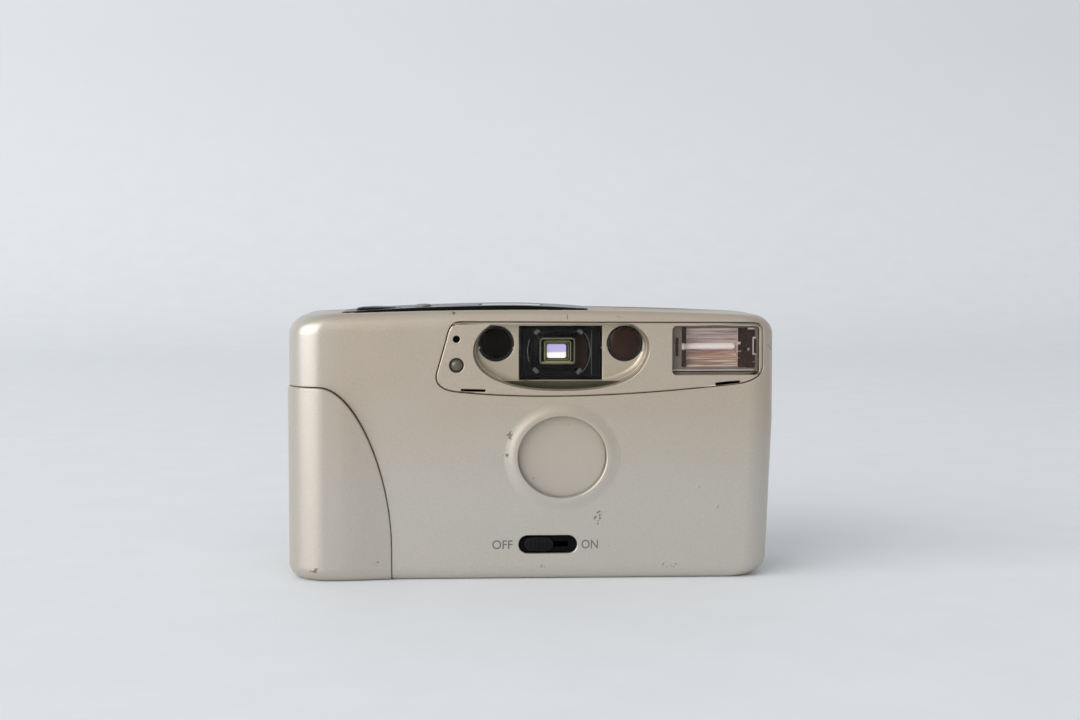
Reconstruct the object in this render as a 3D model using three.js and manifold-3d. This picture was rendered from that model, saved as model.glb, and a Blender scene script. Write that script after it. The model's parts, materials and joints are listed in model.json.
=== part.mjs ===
// Compact 35 mm autofocus camera. Millimetres, +Z up, the lens looks along -Y.
// The origin is the centre of the camera's outer box, on the face that it stands on.
import * as THREE from "three";
import { mergeVertices } from "three/addons/utils/BufferGeometryUtils.js";
import Module from "manifold-3d";

const wasm = await Module();
wasm.setup();

// ---------------------------------------------------------------- driving dimensions

const body = { width: 120, height: 66.4, depth: 37.5, wall: 1.6 };
const round = { topLeft: 5, topRight: 4.7, bottomLeft: 3.5, bottomRight: 5.5, face: 2.6 };
const plan = { frontLeft: 8.5, frontRight: 6.5, backRight: 5, backLeft: 2 };
const taper = { width: 1.6, height: 40 };
const crown = { bend: 0.00042, centre: -2 };
const proud = { grip: 2, gripSide: 0.3, lug: 0.6, eyepiece: 2.5 };
const fit = { gap: 0.3, seam: 0.35, press: 0.25 };
const hinge = { barrel: 2, pin: 0.8, knuckle: 11 };
const lens = { x: 7.6, z: 30.25, halfWidth: 10.9, halfHeight: 10.05, lip: 0.9, lipWidth: 1.5 };
const gate = { width: 36, height: 24, rail: 0.6, doorRoom: 6.5 };
const film = { canRadius: 12.5, canHeight: 47, canBehind: 9.7, spoolChamber: 11.3, width: 35 };
const train = { module: 1, pinion: 8, idler: 20, idlers: 3, wheel: 14, thick: 2 };
const cell = { radius: 8.5, height: 34.5 };
const panel = { left: -23.4, right: 57.1, top: body.height - 2.9, recess: 0.2 };
const finder = { x: 7.35, z: panel.top - 7.75, width: 19.9, height: 12.7 };
const flash = {
  left: 34.8, right: 56.1, low: panel.top - 13, high: panel.top - 1.2, tubeZ: panel.top - 6.2,
};
const power = { x: 4.05, z: 8.7, length: 14.4, height: 4.45, knob: 7.6, travel: 5 };
const cover = { pivotX: 4.35, pivotZ: 12.1, radius: 11.3, thick: 1 };
const release = { x: -37.9, y: -4.5, radius: 5.5 };
const doorTop = body.height - 11.4;
const tripod = { x: -4.6, y: -9.9, bore: 3.175, radius: 4.2, height: 6.8 };

// ---------------------------------------------------------------- derived places

const leftX = -(body.width + proud.lug) / 2 + proud.lug;
const rightX = leftX + body.width;
const frontY = -(body.depth + proud.grip + proud.eyepiece) / 2 + proud.grip;
const backY = frontY + body.depth;
const innerFrontY = frontY + body.wall;
const filmY = backY - gate.doorRoom;
const splitY = 1.2;
const gripHinge = { x: leftX - proud.gripSide + hinge.barrel + 0.04, y: splitY - 0.2 };
const doorHinge = { x: leftX + hinge.barrel, y: backY - hinge.barrel - 0.04 };
const doorY = doorHinge.y - hinge.barrel;
const pinionRadius = (train.module * train.pinion) / 2;
const wheelRadius = (train.module * train.wheel) / 2;
const idlerRadius = (train.module * train.idler) / 2;
const gateLeft = lens.x - gate.width / 2;
const spool = { x: gateLeft - 18.2, y: filmY - film.canBehind, radius: 7.4, bore: 6.6 };
const trainLength = pinionRadius + 2 * idlerRadius * train.idlers + wheelRadius;
const can = { x: spool.x + trainLength, y: spool.y, room: film.canRadius + 0.5, wall: 1 };
const canLow = lens.z - film.canHeight / 2 - 0.45;
const canHigh = lens.z + film.canHeight / 2 + 0.85;
const layerLow = body.wall + 0.5;
const layerHigh = layerLow + train.thick + fit.gap;
const spoolFloor = layerHigh + train.thick + fit.gap + 1.6 + 1.2;
const spoolRoof = lens.z + film.width / 2 + 3.25;
const innerLeft = gripHinge.x + hinge.barrel + fit.gap;
const battery = {
  x: leftX - proud.gripSide + body.wall + cell.radius + fit.gap,
  y: frontY - proud.grip + body.wall + cell.radius + 1.2,
  z: 5.8,
};
const cradle = { wallY: battery.y + cell.radius + fit.gap, backY: doorY - 1.5, thick: 1 };
const capacitorRoom = cradle.backY - cradle.wallY - cradle.thick;
const capacitor = {
  radius: capacitorRoom / 2 - fit.gap,
  height: 33,
  x: innerLeft + capacitorRoom / 2,
  y: cradle.backY - capacitorRoom / 2,
};
// Planes that lie clear of the whole camera, for cuts that go right through.
const clear = { left: leftX - 5, right: rightX + 5, front: frontY - 6, back: backY + 6,
  below: -6, above: body.height + 6 };

// ---------------------------------------------------------------- finishes

function finish(color, roughness, metalness = 0) {
  return new THREE.MeshStandardMaterial({ color, roughness, metalness });
}

const finishes = {
  silver: finish(0xb6b1a8, 0.42, 0.35),
  grip: finish(0xb1a599, 0.45, 0.35),
  gloss: finish(0x101112, 0.12),
  black: finish(0x1b1b1d, 0.55),
  matt: finish(0x121213, 0.85),
  clear: finish(0xd8dcda, 0.05),
  glass: finish(0x2a2233, 0.03),
  red: finish(0x30211e, 0.08),
  mirror: finish(0xc9c6bf, 0.1, 1),
  steel: finish(0xa9aaac, 0.3, 1),
  brass: finish(0xb59a55, 0.35, 1),
  nylon: finish(0xe6e2d6, 0.5),
  board: finish(0x2f6b3f, 0.5),
  wrap: finish(0x3b4a78, 0.4),
};

// ---------------------------------------------------------------- solids from geometry

function point(x, y) {
  return new THREE.Vector2(x, y);
}

function solid(geometry) {
  geometry.deleteAttribute("normal");
  geometry.deleteAttribute("uv");
  const merged = mergeVertices(geometry, 1e-4);
  const corners = merged.index.array;
  const triangles = [];
  for (let i = 0; i < corners.length; i += 3) {
    const [a, b, c] = [corners[i], corners[i + 1], corners[i + 2]];
    if (a !== b && b !== c && c !== a) {
      triangles.push(a, b, c);
    }
  }
  return new wasm.Manifold(new wasm.Mesh({
    numProp: 3,
    vertProperties: new Float32Array(merged.attributes.position.array),
    triVerts: new Uint32Array(triangles),
  }));
}

function block(x0, x1, y0, y1, z0, z1) {
  const geometry = new THREE.BoxGeometry(x1 - x0, y1 - y0, z1 - z0);
  geometry.translate((x0 + x1) / 2, (y0 + y1) / 2, (z0 + z1) / 2);
  return solid(geometry);
}

// Sides of a round form: the flats are about a tenth of a millimetre deep on any radius.
function sidesOf(radius) {
  return 2 * Math.round(Math.max(4, 3.6 * Math.sqrt(radius)));
}

function rodZ(radius, x, y, z0, z1, sides = sidesOf(radius)) {
  const geometry = new THREE.CylinderGeometry(radius, radius, z1 - z0, sides);
  geometry.rotateX(Math.PI / 2);
  geometry.translate(x, y, (z0 + z1) / 2);
  return solid(geometry);
}

function rodY(radius, x, z, y0, y1, sides = sidesOf(radius)) {
  const geometry = new THREE.CylinderGeometry(radius, radius, y1 - y0, sides);
  geometry.translate(x, (y0 + y1) / 2, z);
  return solid(geometry);
}

function rodX(radius, y, z, x0, x1, sides = sidesOf(radius)) {
  const geometry = new THREE.CylinderGeometry(radius, radius, x1 - x0, sides);
  geometry.rotateZ(Math.PI / 2);
  geometry.translate((x0 + x1) / 2, y, z);
  return solid(geometry);
}

// A turned form faces outwards when its profile runs counter-clockwise.
function turned(profile, sides) {
  const points = profile.map(([r, along]) => point(r, along));
  const widest = Math.max(...profile.map(([r]) => r));
  if (THREE.ShapeUtils.area(points) < 0) {
    points.reverse();
  }
  return new THREE.LatheGeometry(points, sides ?? sidesOf(widest));
}

// A turned form about the optical direction: profile points are [radius, y].
function turnY(profile, x, z, sides, flatten = 1) {
  const geometry = turned(profile, sides);
  geometry.scale(1, 1, flatten);
  geometry.translate(x, 0, z);
  return solid(geometry);
}

// A turned form about a vertical axis: profile points are [radius, z].
function turnZ(profile, x, y, sides) {
  const geometry = turned(profile, sides);
  geometry.rotateX(Math.PI / 2);
  geometry.translate(x, y, 0);
  return solid(geometry);
}

function extruded(points, depth) {
  return new THREE.ExtrudeGeometry(new THREE.Shape(points), {
    depth, bevelEnabled: false, curveSegments: 1, steps: 1,
  });
}

// An outline drawn in X and Z, seen from the front, carried along Y.
function frontPrism(points, y0, y1) {
  const geometry = extruded(points, y1 - y0);
  geometry.rotateX(Math.PI / 2);
  geometry.translate(0, y1, 0);
  return solid(geometry);
}

// An outline drawn in X and Y, seen from above, carried along Z.
function planPrism(points, z0, z1) {
  const geometry = extruded(points, z1 - z0);
  geometry.translate(0, 0, z0);
  return solid(geometry);
}

// Closed rings of as many points each, counter-clockwise seen from the far end.
function loft(rings) {
  const count = rings[0].length;
  const last = (rings.length - 1) * count;
  const index = [];
  for (let base = 0; base < last; base += count) {
    for (let i = 0; i < count; i += 1) {
      const a = base + i;
      const b = base + ((i + 1) % count);
      index.push(a, b, b + count, a, b + count, a + count);
    }
  }
  for (let i = 1; i + 1 < count; i += 1) {
    index.push(0, i + 1, i, last, last + i, last + i + 1);
  }
  const geometry = new THREE.BufferGeometry();
  const places = new Float32Array(rings.flat().flatMap((place) => place.toArray()));
  geometry.setAttribute("position", new THREE.BufferAttribute(places, 3));
  geometry.setIndex(index);
  return solid(geometry);
}

// Moves an outline outwards by the same distance all round.
function grown(points, distance) {
  return points.map((place, i) => {
    const before = points[(i + points.length - 1) % points.length];
    const after = points[(i + 1) % points.length];
    const one = place.clone().sub(before).normalize();
    const two = after.clone().sub(place).normalize();
    const side = point(one.y + two.y, -one.x - two.x).normalize();
    const mitre = side.x * one.y - side.y * one.x;
    return place.clone().addScaledVector(side, distance / Math.max(mitre, 0.4));
  });
}

function roundedBox(x0, x1, y0, y1, radius, steps = 4) {
  const points = [];
  const corners = [[x1, y0, -90], [x1, y1, 0], [x0, y1, 90], [x0, y0, 180]];
  for (const [x, y, start] of corners) {
    const cx = x + (x === x1 ? -radius : radius);
    const cy = y + (y === y1 ? -radius : radius);
    for (let i = 0; i <= steps; i += 1) {
      const angle = THREE.MathUtils.degToRad(start + (90 * i) / steps);
      points.push(point(cx + radius * Math.cos(angle), cy + radius * Math.sin(angle)));
    }
  }
  return points;
}

function part(name, form, look) {
  const mesh = form.getMesh();
  const geometry = new THREE.BufferGeometry();
  geometry.setAttribute("position", new THREE.BufferAttribute(mesh.vertProperties.slice(), 3));
  geometry.setIndex(new THREE.BufferAttribute(mesh.triVerts.slice(), 1));
  geometry.computeVertexNormals();
  const piece = new THREE.Mesh(geometry, look);
  piece.name = name;
  return piece;
}

function assembly(...pieces) {
  const group = new THREE.Group();
  group.add(...pieces);
  return group;
}

// ---------------------------------------------------------------- outer form

// How far a rounded edge has drawn in, at a distance from the end of the form.
function drawnIn(distance, radius, depth = radius) {
  if (distance >= radius) {
    return 0;
  }
  return depth * (1 - Math.sqrt(1 - (1 - distance / radius) ** 2));
}

function edgeLevels(low, high, bottom, top, steps) {
  const levels = [];
  for (let i = 0; i <= steps; i += 1) {
    levels.push(low + bottom * (1 - Math.cos((i * Math.PI) / 2 / steps)));
  }
  for (let i = steps; i >= 0; i -= 1) {
    levels.push(high - top * (1 - Math.cos((i * Math.PI) / 2 / steps)));
  }
  return levels;
}

function crowned(x, z) {
  return z - (crown.bend * (x - crown.centre) ** 2 * z) / body.height;
}

function arcPoints(cx, cy, radius, start, steps) {
  const points = [];
  for (let i = 0; i <= steps; i += 1) {
    const angle = THREE.MathUtils.degToRad(start + (90 * i) / steps);
    points.push(point(cx + radius * Math.cos(angle), cy + radius * Math.sin(angle)));
  }
  return points;
}

// Points along a straight run, so that the crown bends it.
function runPoints(x0, x1, y, steps) {
  return Array.from({ length: steps }, (_, i) => (
    point(x0 + ((x1 - x0) * (i + 1)) / (steps + 1), y)
  ));
}

// How finely the form is drawn: levels per rounded end, and steps per corner and run.
const fine = { levels: 4, front: 6, back: 3, run: 4 };
const coarse = { levels: 2, front: 3, back: 1, run: 2 };

function bodyRing(z, inset, detail) {
  const low = z - inset;
  const high = body.height - inset - z;
  const less = (radius) => Math.max(radius - inset, 0.5);
  const edge = drawnIn(low, less(round.bottomLeft), less(round.face))
    + drawnIn(high, less(round.topLeft), less(round.face));
  const left = leftX + inset + drawnIn(low, less(round.bottomLeft))
    + drawnIn(high, less(round.topLeft));
  const right = rightX - inset - taper.width * Math.max(0, 1 - z / taper.height)
    - drawnIn(low, less(round.bottomRight)) - drawnIn(high, less(round.topRight));
  const front = frontY + inset + edge;
  const back = backY - inset - edge;
  const corner = (radius) => Math.max(radius - inset - edge / 2, 0.5);
  const [fl, fr] = [corner(plan.frontLeft), corner(plan.frontRight)];
  const [br, bl] = [corner(plan.backRight), corner(plan.backLeft)];
  return [
    ...arcPoints(right - fr, front + fr, fr, -90, detail.front),
    ...arcPoints(right - br, back - br, br, 0, detail.back),
    ...runPoints(right - br, left + bl, back, detail.run),
    ...arcPoints(left + bl, back - bl, bl, 90, detail.back),
    ...arcPoints(left + fl, front + fl, fl, 180, detail.front),
    ...runPoints(left + fl, right - fr, front, detail.run),
  ].map(({ x, y }) => new THREE.Vector3(x, y, crowned(x, z)));
}

function bodyForm(inset, detail) {
  const bottom = Math.max(round.bottomRight - inset, 0.5);
  const top = Math.max(round.topLeft - inset, 0.5);
  const levels = edgeLevels(inset, body.height - inset, bottom, top, detail.levels);
  return loft(levels.map((z) => bodyRing(z, inset, detail)));
}

// The grip swells forward of the body's face and fades to it at the seam.
function gripRing(z, inset) {
  const low = z - inset;
  const less = (radius) => Math.max(radius - inset, 0.5);
  const left = leftX - proud.gripSide + inset + drawnIn(low, less(round.bottomLeft));
  const edge = drawnIn(low, less(round.bottomLeft), less(round.face));
  const front = frontY + inset + edge;
  const swell = proud.grip - 0.25;
  const radius = Math.max(plan.frontLeft + 1 - inset - edge / 2, 1);
  const flatX = leftX + 11.5;
  const points = arcPoints(left + radius, front - swell - 0.25 + radius, radius, 180, 8);
  const run = leftX + 29 - flatX;
  for (let i = 1; i <= 7; i += 1) {
    const share = i / 7;
    const fade = (1 + Math.cos(Math.PI * share)) / 2;
    points.push(point(flatX + run * share, front - 0.25 - swell * fade));
  }
  points.push(point(flatX + run, splitY + 4), point(left, splitY + 4));
  return points.map(({ x, y }) => new THREE.Vector3(x, y, crowned(x, z)));
}

function gripForm(inset) {
  const bottom = Math.max(round.bottomLeft - inset, 0.5);
  const levels = edgeLevels(inset, body.height - inset, bottom, 0.5, 4);
  return loft(levels.slice(0, -4).map((z) => gripRing(z, inset)));
}

// ---------------------------------------------------------------- outlines seen from the front

const gripSeamX = leftX + 25.3;
const gripTopZ = 47.5;

function gripOutline() {
  const shape = new THREE.Shape();
  shape.moveTo(leftX - 4, -4);
  shape.lineTo(gripSeamX, -4);
  shape.lineTo(gripSeamX, 8);
  shape.bezierCurveTo(gripSeamX, 26, leftX + 16.7, gripTopZ, leftX + 7.7, gripTopZ);
  shape.lineTo(leftX - 4, gripTopZ + 0.2);
  return shape.getPoints(12);
}

function panelOutline() {
  const { left, right, top } = panel;
  const shape = new THREE.Shape();
  shape.moveTo(left + 6.4, top);
  shape.bezierCurveTo(left + 3.8, top, left + 3.2, top - 1.6, left + 2.6, top - 4.4);
  shape.lineTo(left + 0.3, top - 12.4);
  shape.bezierCurveTo(left - 0.6, top - 15.8, left + 2.8, top - 16.9, left + 5.6, top - 17.1);
  shape.quadraticCurveTo(lens.x + 1.4, top - 20, right - 5.8, top - 15.2);
  shape.bezierCurveTo(right - 2.3, top - 14.6, right, top - 13.2, right, top - 10.9);
  shape.lineTo(right, top - 2.7);
  shape.bezierCurveTo(right, top - 1.1, right - 1.2, top - 0.3, right - 3, top - 0.3);
  return cleaned(shape.getPoints(6));
}

function bowlOutline() {
  const top = panel.top - 0.7;
  const shape = new THREE.Shape();
  shape.moveTo(finder.x - 17.2, top);
  shape.bezierCurveTo(finder.x - 22.6, top - 3, finder.x - 22.8, top - 9, finder.x - 18.6, top - 12);
  shape.bezierCurveTo(finder.x - 14.4, top - 15.2, finder.x - 7.4, top - 16.2, finder.x, top - 16.2);
  shape.bezierCurveTo(finder.x + 10.6, top - 16.2, finder.x + 16.6, top - 14.6, finder.x + 19.6, top - 11);
  shape.bezierCurveTo(finder.x + 23, top - 6.4, finder.x + 22.2, top - 2.4, finder.x + 17.6, top);
  return cleaned(shape.getPoints(7));
}

function slotOutline(halfLength, halfHeight, x = power.x, z = power.z) {
  return roundedBox(x - halfLength, x + halfLength, z - halfHeight, z + halfHeight,
    halfHeight - 0.01, 5);
}

// Drops points that repeat the one before, and turns an outline counter-clockwise.
function cleaned(points) {
  const kept = points.filter((place, i) => i === 0 || place.distanceTo(points[i - 1]) > 0.01);
  return THREE.ShapeUtils.area(kept) < 0 ? kept.reverse() : kept;
}

const topPad = { left: -46.9, right: 14.6, front: frontY + 5, back: backY - 6, radius: 6 };
const padFloor = body.height - 3.6;

function padOutline() {
  return roundedBox(topPad.left, topPad.right, topPad.front, topPad.back, topPad.radius, 5);
}

// The crowned black pad rises about a millimetre over the silver top.
function padForm() {
  const line = new THREE.SplineCurve([
    point(topPad.left - 0.5, body.height - 0.7),
    point(topPad.left + 17, body.height + 0.4),
    point(-4, body.height + 1),
    point(topPad.right + 0.5, body.height + 0.1),
  ]);
  const outline = [
    point(topPad.right + 0.5, padFloor),
    ...line.getPoints(18).reverse(),
    point(topPad.left - 0.5, padFloor),
  ];
  const crest = frontPrism(outline, topPad.front - 1, topPad.back + 1);
  return crest.intersect(planPrism(padOutline(), padFloor - 1, clear.above));
}

// ---------------------------------------------------------------- hinges

function barrel(axis, z0, z1, grow = 0) {
  return rodZ(hinge.barrel + grow, axis.x, axis.y, z0, z1);
}

const gripKnuckles = { low: 3, high: gripTopZ - 2.2 };
const doorKnuckles = { low: 3, high: doorTop - 1.2 };

// Two knuckles on the leaf, one at each end; the middle one is the body's.
function leafKnuckles(axis, span) {
  const lower = barrel(axis, span.low, span.low + hinge.knuckle);
  return lower.add(barrel(axis, span.high - hinge.knuckle, span.high));
}

function middleKnuckle(axis, span) {
  const low = span.low + hinge.knuckle + fit.gap;
  return barrel(axis, low, span.high - hinge.knuckle - fit.gap);
}

function pinBore(axis, span) {
  return rodZ(hinge.pin + fit.gap, axis.x, axis.y, span.low - 1, span.high + 1);
}

function hingePin(axis, span) {
  return rodZ(hinge.pin, axis.x, axis.y, span.low + fit.gap, span.high - fit.gap);
}

// ---------------------------------------------------------------- casing

const lipSides = 36;

function lensLip() {
  const { halfWidth, halfHeight, lip, lipWidth } = lens;
  const ring = [
    [halfWidth, innerFrontY],
    [halfWidth + lipWidth + 0.2, innerFrontY],
    [halfWidth + lipWidth + 0.2, frontY - 0.05],
    [halfWidth + lipWidth - 0.2, frontY - lip * 0.6],
    [halfWidth + lipWidth / 2 + 0.1, frontY - lip],
    [halfWidth + 0.35, frontY - lip * 0.85],
    [halfWidth, frontY - lip * 0.4],
    [halfWidth, innerFrontY],
  ];
  return turnY(ring, lens.x, lens.z, lipSides, halfHeight / halfWidth);
}

function lensHole() {
  const radius = lens.halfWidth + lens.lipWidth / 2;
  const profile = [[0, frontY - 1], [radius, frontY - 1], [radius, innerFrontY + 1], [0, innerFrontY + 1]];
  return turnY(profile, lens.x, lens.z, lipSides, lens.halfHeight / lens.halfWidth);
}

// Where the grip is, nothing of the fixed shells is left in front of the split.
function gripRoom() {
  const front = frontPrism(grown(cleaned(gripOutline()), fit.seam), clear.front, splitY);
  const leftWall = block(leftX - 4, gripHinge.x + 1.4, splitY - 1,
    gripHinge.y + hinge.barrel + fit.seam, -2, gripTopZ + fit.seam);
  return front.add(leftWall);
}

function topRoom() {
  return planPrism(grown(padOutline(), fit.gap), padFloor - 6, clear.above);
}

function frontShell(skin) {
  let form = skin.intersect(block(clear.left, clear.right, clear.front, splitY - 0.15,
    clear.below, clear.above));
  form = form.subtract(gripRoom()).subtract(topRoom());
  form = form.subtract(frontPrism(grown(panelOutline(), fit.press), frontY - 1, innerFrontY + 1));
  form = form.subtract(lensHole()).add(lensLip());
  form = form.subtract(frontPrism(slotOutline(power.length / 2, power.height / 2),
    frontY - 1, innerFrontY + 1));
  form = form.add(rodY(1.2, cover.pivotX, cover.pivotZ, innerFrontY - 0.4, frontY + 4.4));
  const slitX = lens.x + 1.3;
  form = form.subtract(block(slitX - 0.13, slitX + 0.13, frontY - 1, frontY + 1.2,
    panel.top + 0.6, body.height + 1));
  form = form.subtract(rodZ(tripod.radius + fit.gap, tripod.x, tripod.y, -1, 3));
  for (const { x, y } of baseScrews) {
    form = form.subtract(screwRoom(x, y));
  }
  return form;
}

function rearShell(skin) {
  let form = skin.intersect(block(clear.left, clear.right, splitY + 0.15, clear.back,
    clear.below, clear.above));
  form = form.subtract(block(clear.left, clear.right, doorY - fit.gap, clear.back, clear.below,
    doorTop + fit.gap));
  form = form.subtract(gripRoom()).subtract(topRoom());
  form = form.add(middleKnuckle(gripHinge, gripKnuckles)
    .add(web(gripHinge, gripKnuckles, gripHinge.y, splitY + 4)));
  form = form.add(middleKnuckle(doorHinge, doorKnuckles)
    .add(web(doorHinge, doorKnuckles, doorY - 2, doorHinge.y)));
  form = form.subtract(pinBore(gripHinge, gripKnuckles)).subtract(pinBore(doorHinge, doorKnuckles));
  form = form.subtract(lugRoom()).subtract(latchRoom()).subtract(eyepieceRoom());
  return form.subtract(rodZ(1.6, rewindButton.x, rewindButton.y, -1, 3));
}

function web(axis, span, y0, y1) {
  const low = span.low + hinge.knuckle + fit.gap;
  return block(axis.x - hinge.barrel + 0.3, axis.x + 1.2, y0, y1, low,
    span.high - hinge.knuckle - fit.gap);
}

function batteryCover() {
  let form = gripForm(0).subtract(gripForm(body.wall));
  const behind = block(clear.left, rightX, gripHinge.y, backY, clear.below, clear.above);
  form = form.intersect(frontPrism(cleaned(gripOutline()), clear.front, backY)).subtract(behind);
  const low = gripKnuckles.low + hinge.knuckle;
  const high = gripKnuckles.high - hinge.knuckle;
  form = form.subtract(barrel(gripHinge, low, high, fit.gap));
  form = form.add(leafKnuckles(gripHinge, gripKnuckles));
  return form.subtract(pinBore(gripHinge, gripKnuckles));
}

function backDoor(skin) {
  let form = skin.intersect(block(doorHinge.x + 0.3, clear.right, doorY, clear.back,
    clear.below, doorTop));
  form = form.subtract(barrel(doorHinge, doorKnuckles.low + hinge.knuckle,
    doorKnuckles.high - hinge.knuckle, fit.gap));
  form = form.add(leafKnuckles(doorHinge, doorKnuckles));
  form = form.add(block(rightX - 5.6, rightX - 4.3, filmY + 0.45, backY - 1, lens.z - 3,
    lens.z + 3));
  form = form.subtract(pinBore(doorHinge, doorKnuckles));
  form = form.subtract(doorOpening(filmWindow, fit.gap));
  return form.subtract(doorOpening(dateModule, fit.gap));
}

function doorOpening({ x0, x1, z0, z1 }, gap) {
  const outline = roundedBox(x0 - gap, x1 + gap, z0 - gap, z1 + gap, 1.2 + gap, 3);
  return frontPrism(outline, doorY, backY + 1);
}

const filmWindow = { x0: can.x - 3.2, x1: can.x + 3.2, z0: lens.z - 12, z1: lens.z + 8 };
const dateModule = { x0: spool.x - 13, x1: spool.x + 13, z0: 38.5, z1: 50.5 };
const rewindButton = { x: spool.x, y: filmY - 0.5 };
const latch = { y: backY - 9, z: lens.z, length: 6, travel: 2 };
const lug = { y: backY - 10.2, z: 8.8, width: 5.4, height: 6.4, depth: 3 };
const eyepiece = { x: finder.x, z: panel.top - 3.9, width: 13.4, height: 7.2 };

function lugRoom() {
  return block(leftX - 2, leftX + 3, lug.y - lug.width / 2 - fit.gap, lug.y + lug.width / 2 + fit.gap,
    lug.z - lug.height / 2 - fit.gap, lug.z + lug.height / 2 + fit.gap);
}

function latchRoom() {
  const half = latch.length / 2 + fit.gap;
  return block(rightX - 3, rightX + 2, latch.y - 2 - fit.gap, latch.y + 2 + fit.gap,
    latch.z - half - latch.travel, latch.z + half);
}

function eyepieceRoom() {
  const { x, z, width, height } = eyepiece;
  return block(x - width / 2 - fit.gap, x + width / 2 + fit.gap, backY - 4, backY + 2,
    z - height / 2 - fit.gap, z + height / 2 + fit.gap);
}

// The lug is a cup in the side wall with a bar across it for the strap's cord.
function strapLug() {
  const { y, z, width, height, depth } = lug;
  const cup = block(leftX - 0.1, leftX + depth, y - width / 2, y + width / 2,
    z - height / 2, z + height / 2);
  const hollow = block(leftX - 1, leftX + depth - 0.8, y - width / 2 + 0.8, y + width / 2 - 0.8,
    z - height / 2 + 0.8, z + height / 2 - 0.8);
  const bar = block(leftX - proud.lug, leftX + 0.7, y - width / 2 + 0.1, y + width / 2 - 0.1,
    z - 0.8, z + 0.8);
  return cup.subtract(hollow).add(bar);
}

// ---------------------------------------------------------------- screws

const baseScrews = [{ x: 22, y: -11.2 }, { x: -14.5, y: -11.2 }];
const screw = { head: 1.7, shank: 0.8, length: 5.5, sink: 0.3, headHeight: 0.9 };

function screwRoom(x, y) {
  const shaft = rodZ(screw.shank + fit.gap, x, y, -1, 8);
  return shaft.add(rodZ(screw.head + fit.gap, x, y, -1, screw.sink + screw.headHeight + 0.1));
}

function screwForm() {
  const slot = block(-2, 2, -0.25, 0.25, -1, screw.sink + 0.35);
  const top = screw.sink + screw.headHeight;
  return turnZ([
    [0, screw.sink], [screw.head, screw.sink], [screw.head, top - 0.2],
    [screw.shank, top], [screw.shank, top + screw.length], [0, top + screw.length],
  ], 0, 0).subtract(slot);
}

function screws() {
  return baseScrews.map(({ x, y }, i) => {
    const piece = part(`base_screw_${i + 1}`, screwForm(), finishes.steel);
    piece.position.set(x, y, 0);
    return piece;
  });
}

function casing() {
  const skin = bodyForm(0, fine).subtract(bodyForm(body.wall, coarse));
  return assembly(
    part("front_shell", frontShell(skin), finishes.silver),
    part("rear_shell", rearShell(skin), finishes.silver),
    part("back_door", backDoor(skin), finishes.black),
    part("battery_cover", batteryCover(), finishes.grip),
    part("door_hinge_pin", hingePin(doorHinge, doorKnuckles), finishes.steel),
    part("battery_hinge_pin", hingePin(gripHinge, gripKnuckles), finishes.steel),
    part("strap_lug", strapLug(), finishes.black),
    ...screws(),
  );
}

// ---------------------------------------------------------------- top controls

const modeButton = { x: -26.6, y: -4.5, radius: 2 };
const counter = { x0: -12, x1: 3, y0: -7, y1: 1.5 };

function topCover() {
  let form = padForm();
  for (const { radius, x, y } of [release, modeButton]) {
    form = form.subtract(rodZ(radius + fit.gap, x, y, padFloor - 1, clear.above));
  }
  return form.subtract(planPrism(counterOutline(fit.gap), padFloor - 1, clear.above));
}

function counterOutline(gap) {
  return roundedBox(counter.x0 - gap, counter.x1 + gap, counter.y0 - gap, counter.y1 + gap,
    1.5 + gap, 3);
}

function topControls() {
  const crest = body.height + 0.7;
  const releaseProfile = [
    [0, boardTop + 1.4], [1.2, boardTop + 1.4], [1.2, padFloor + 0.4], [release.radius, padFloor + 0.4],
    [release.radius, crest - 0.9], [release.radius - 0.6, crest - 0.45], [2.5, crest - 0.15],
    [0, crest - 0.1],
  ];
  const modeProfile = [
    [0, boardTop + 0.9], [0.8, boardTop + 0.9], [0.8, padFloor + 0.4],
    [modeButton.radius, padFloor + 0.4], [modeButton.radius, crest + 0.1],
    [modeButton.radius - 0.4, crest + 0.4], [0, crest + 0.45],
  ];
  const window = padForm().intersect(planPrism(counterOutline(0), padFloor, clear.above));
  return assembly(
    part("top_cover", topCover(), finishes.gloss),
    part("shutter_button", turnZ(releaseProfile, release.x, release.y), finishes.gloss),
    part("mode_button", turnZ(modeProfile, modeButton.x, modeButton.y), finishes.black),
    part("counter_window", window, finishes.clear),
  );
}

// ---------------------------------------------------------------- window panel and optics behind it

const panelFace = frontY + panel.recess;
const bowlFloor = frontY + 3.4;
const autofocus = [
  { name: "af_lens_left", x: finder.x - 15.9, look: finishes.glass },
  { name: "af_lens_right", x: finder.x + 15.85, look: finishes.red },
];
const afLens = { z: panel.top - 5.45, radius: 4.1 };
const smallEyes = {
  x: panel.left + 5.1, sensorZ: panel.top - 4.2, lampZ: panel.top - 10.6, sensor: 0.6, lamp: 1.6,
};
const clipSlits = [
  { x: panel.left + 9.2, z: panel.top - 16.75, tilt: 1.5 },
  { x: panel.right - 8.6, z: panel.top - 15.15, tilt: -6 },
];

function windowPanel() {
  let form = frontPrism(panelOutline(), frontY - 1, innerFrontY)
    .intersect(bodyForm(panel.recess, fine));
  form = form.add(bowlPan());
  form = form.subtract(frontPrism(bowlOutline(), frontY - 1, bowlFloor));
  form = form.subtract(flashHole(fit.press));
  for (const { x } of autofocus) {
    form = form.subtract(rodY(afLens.radius + fit.gap, x, afLens.z, frontY, bowlFloor + 2));
  }
  form = form.subtract(finderHole(fit.gap));
  form = form.subtract(rodY(smallEyes.lamp + fit.gap, smallEyes.x, smallEyes.lampZ, clear.front, 0));
  form = form.subtract(rodY(smallEyes.sensor + fit.gap, smallEyes.x, smallEyes.sensorZ,
    clear.front, 0));
  for (const slit of clipSlits) {
    form = form.subtract(clipSlit(slit));
  }
  return form;
}

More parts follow.
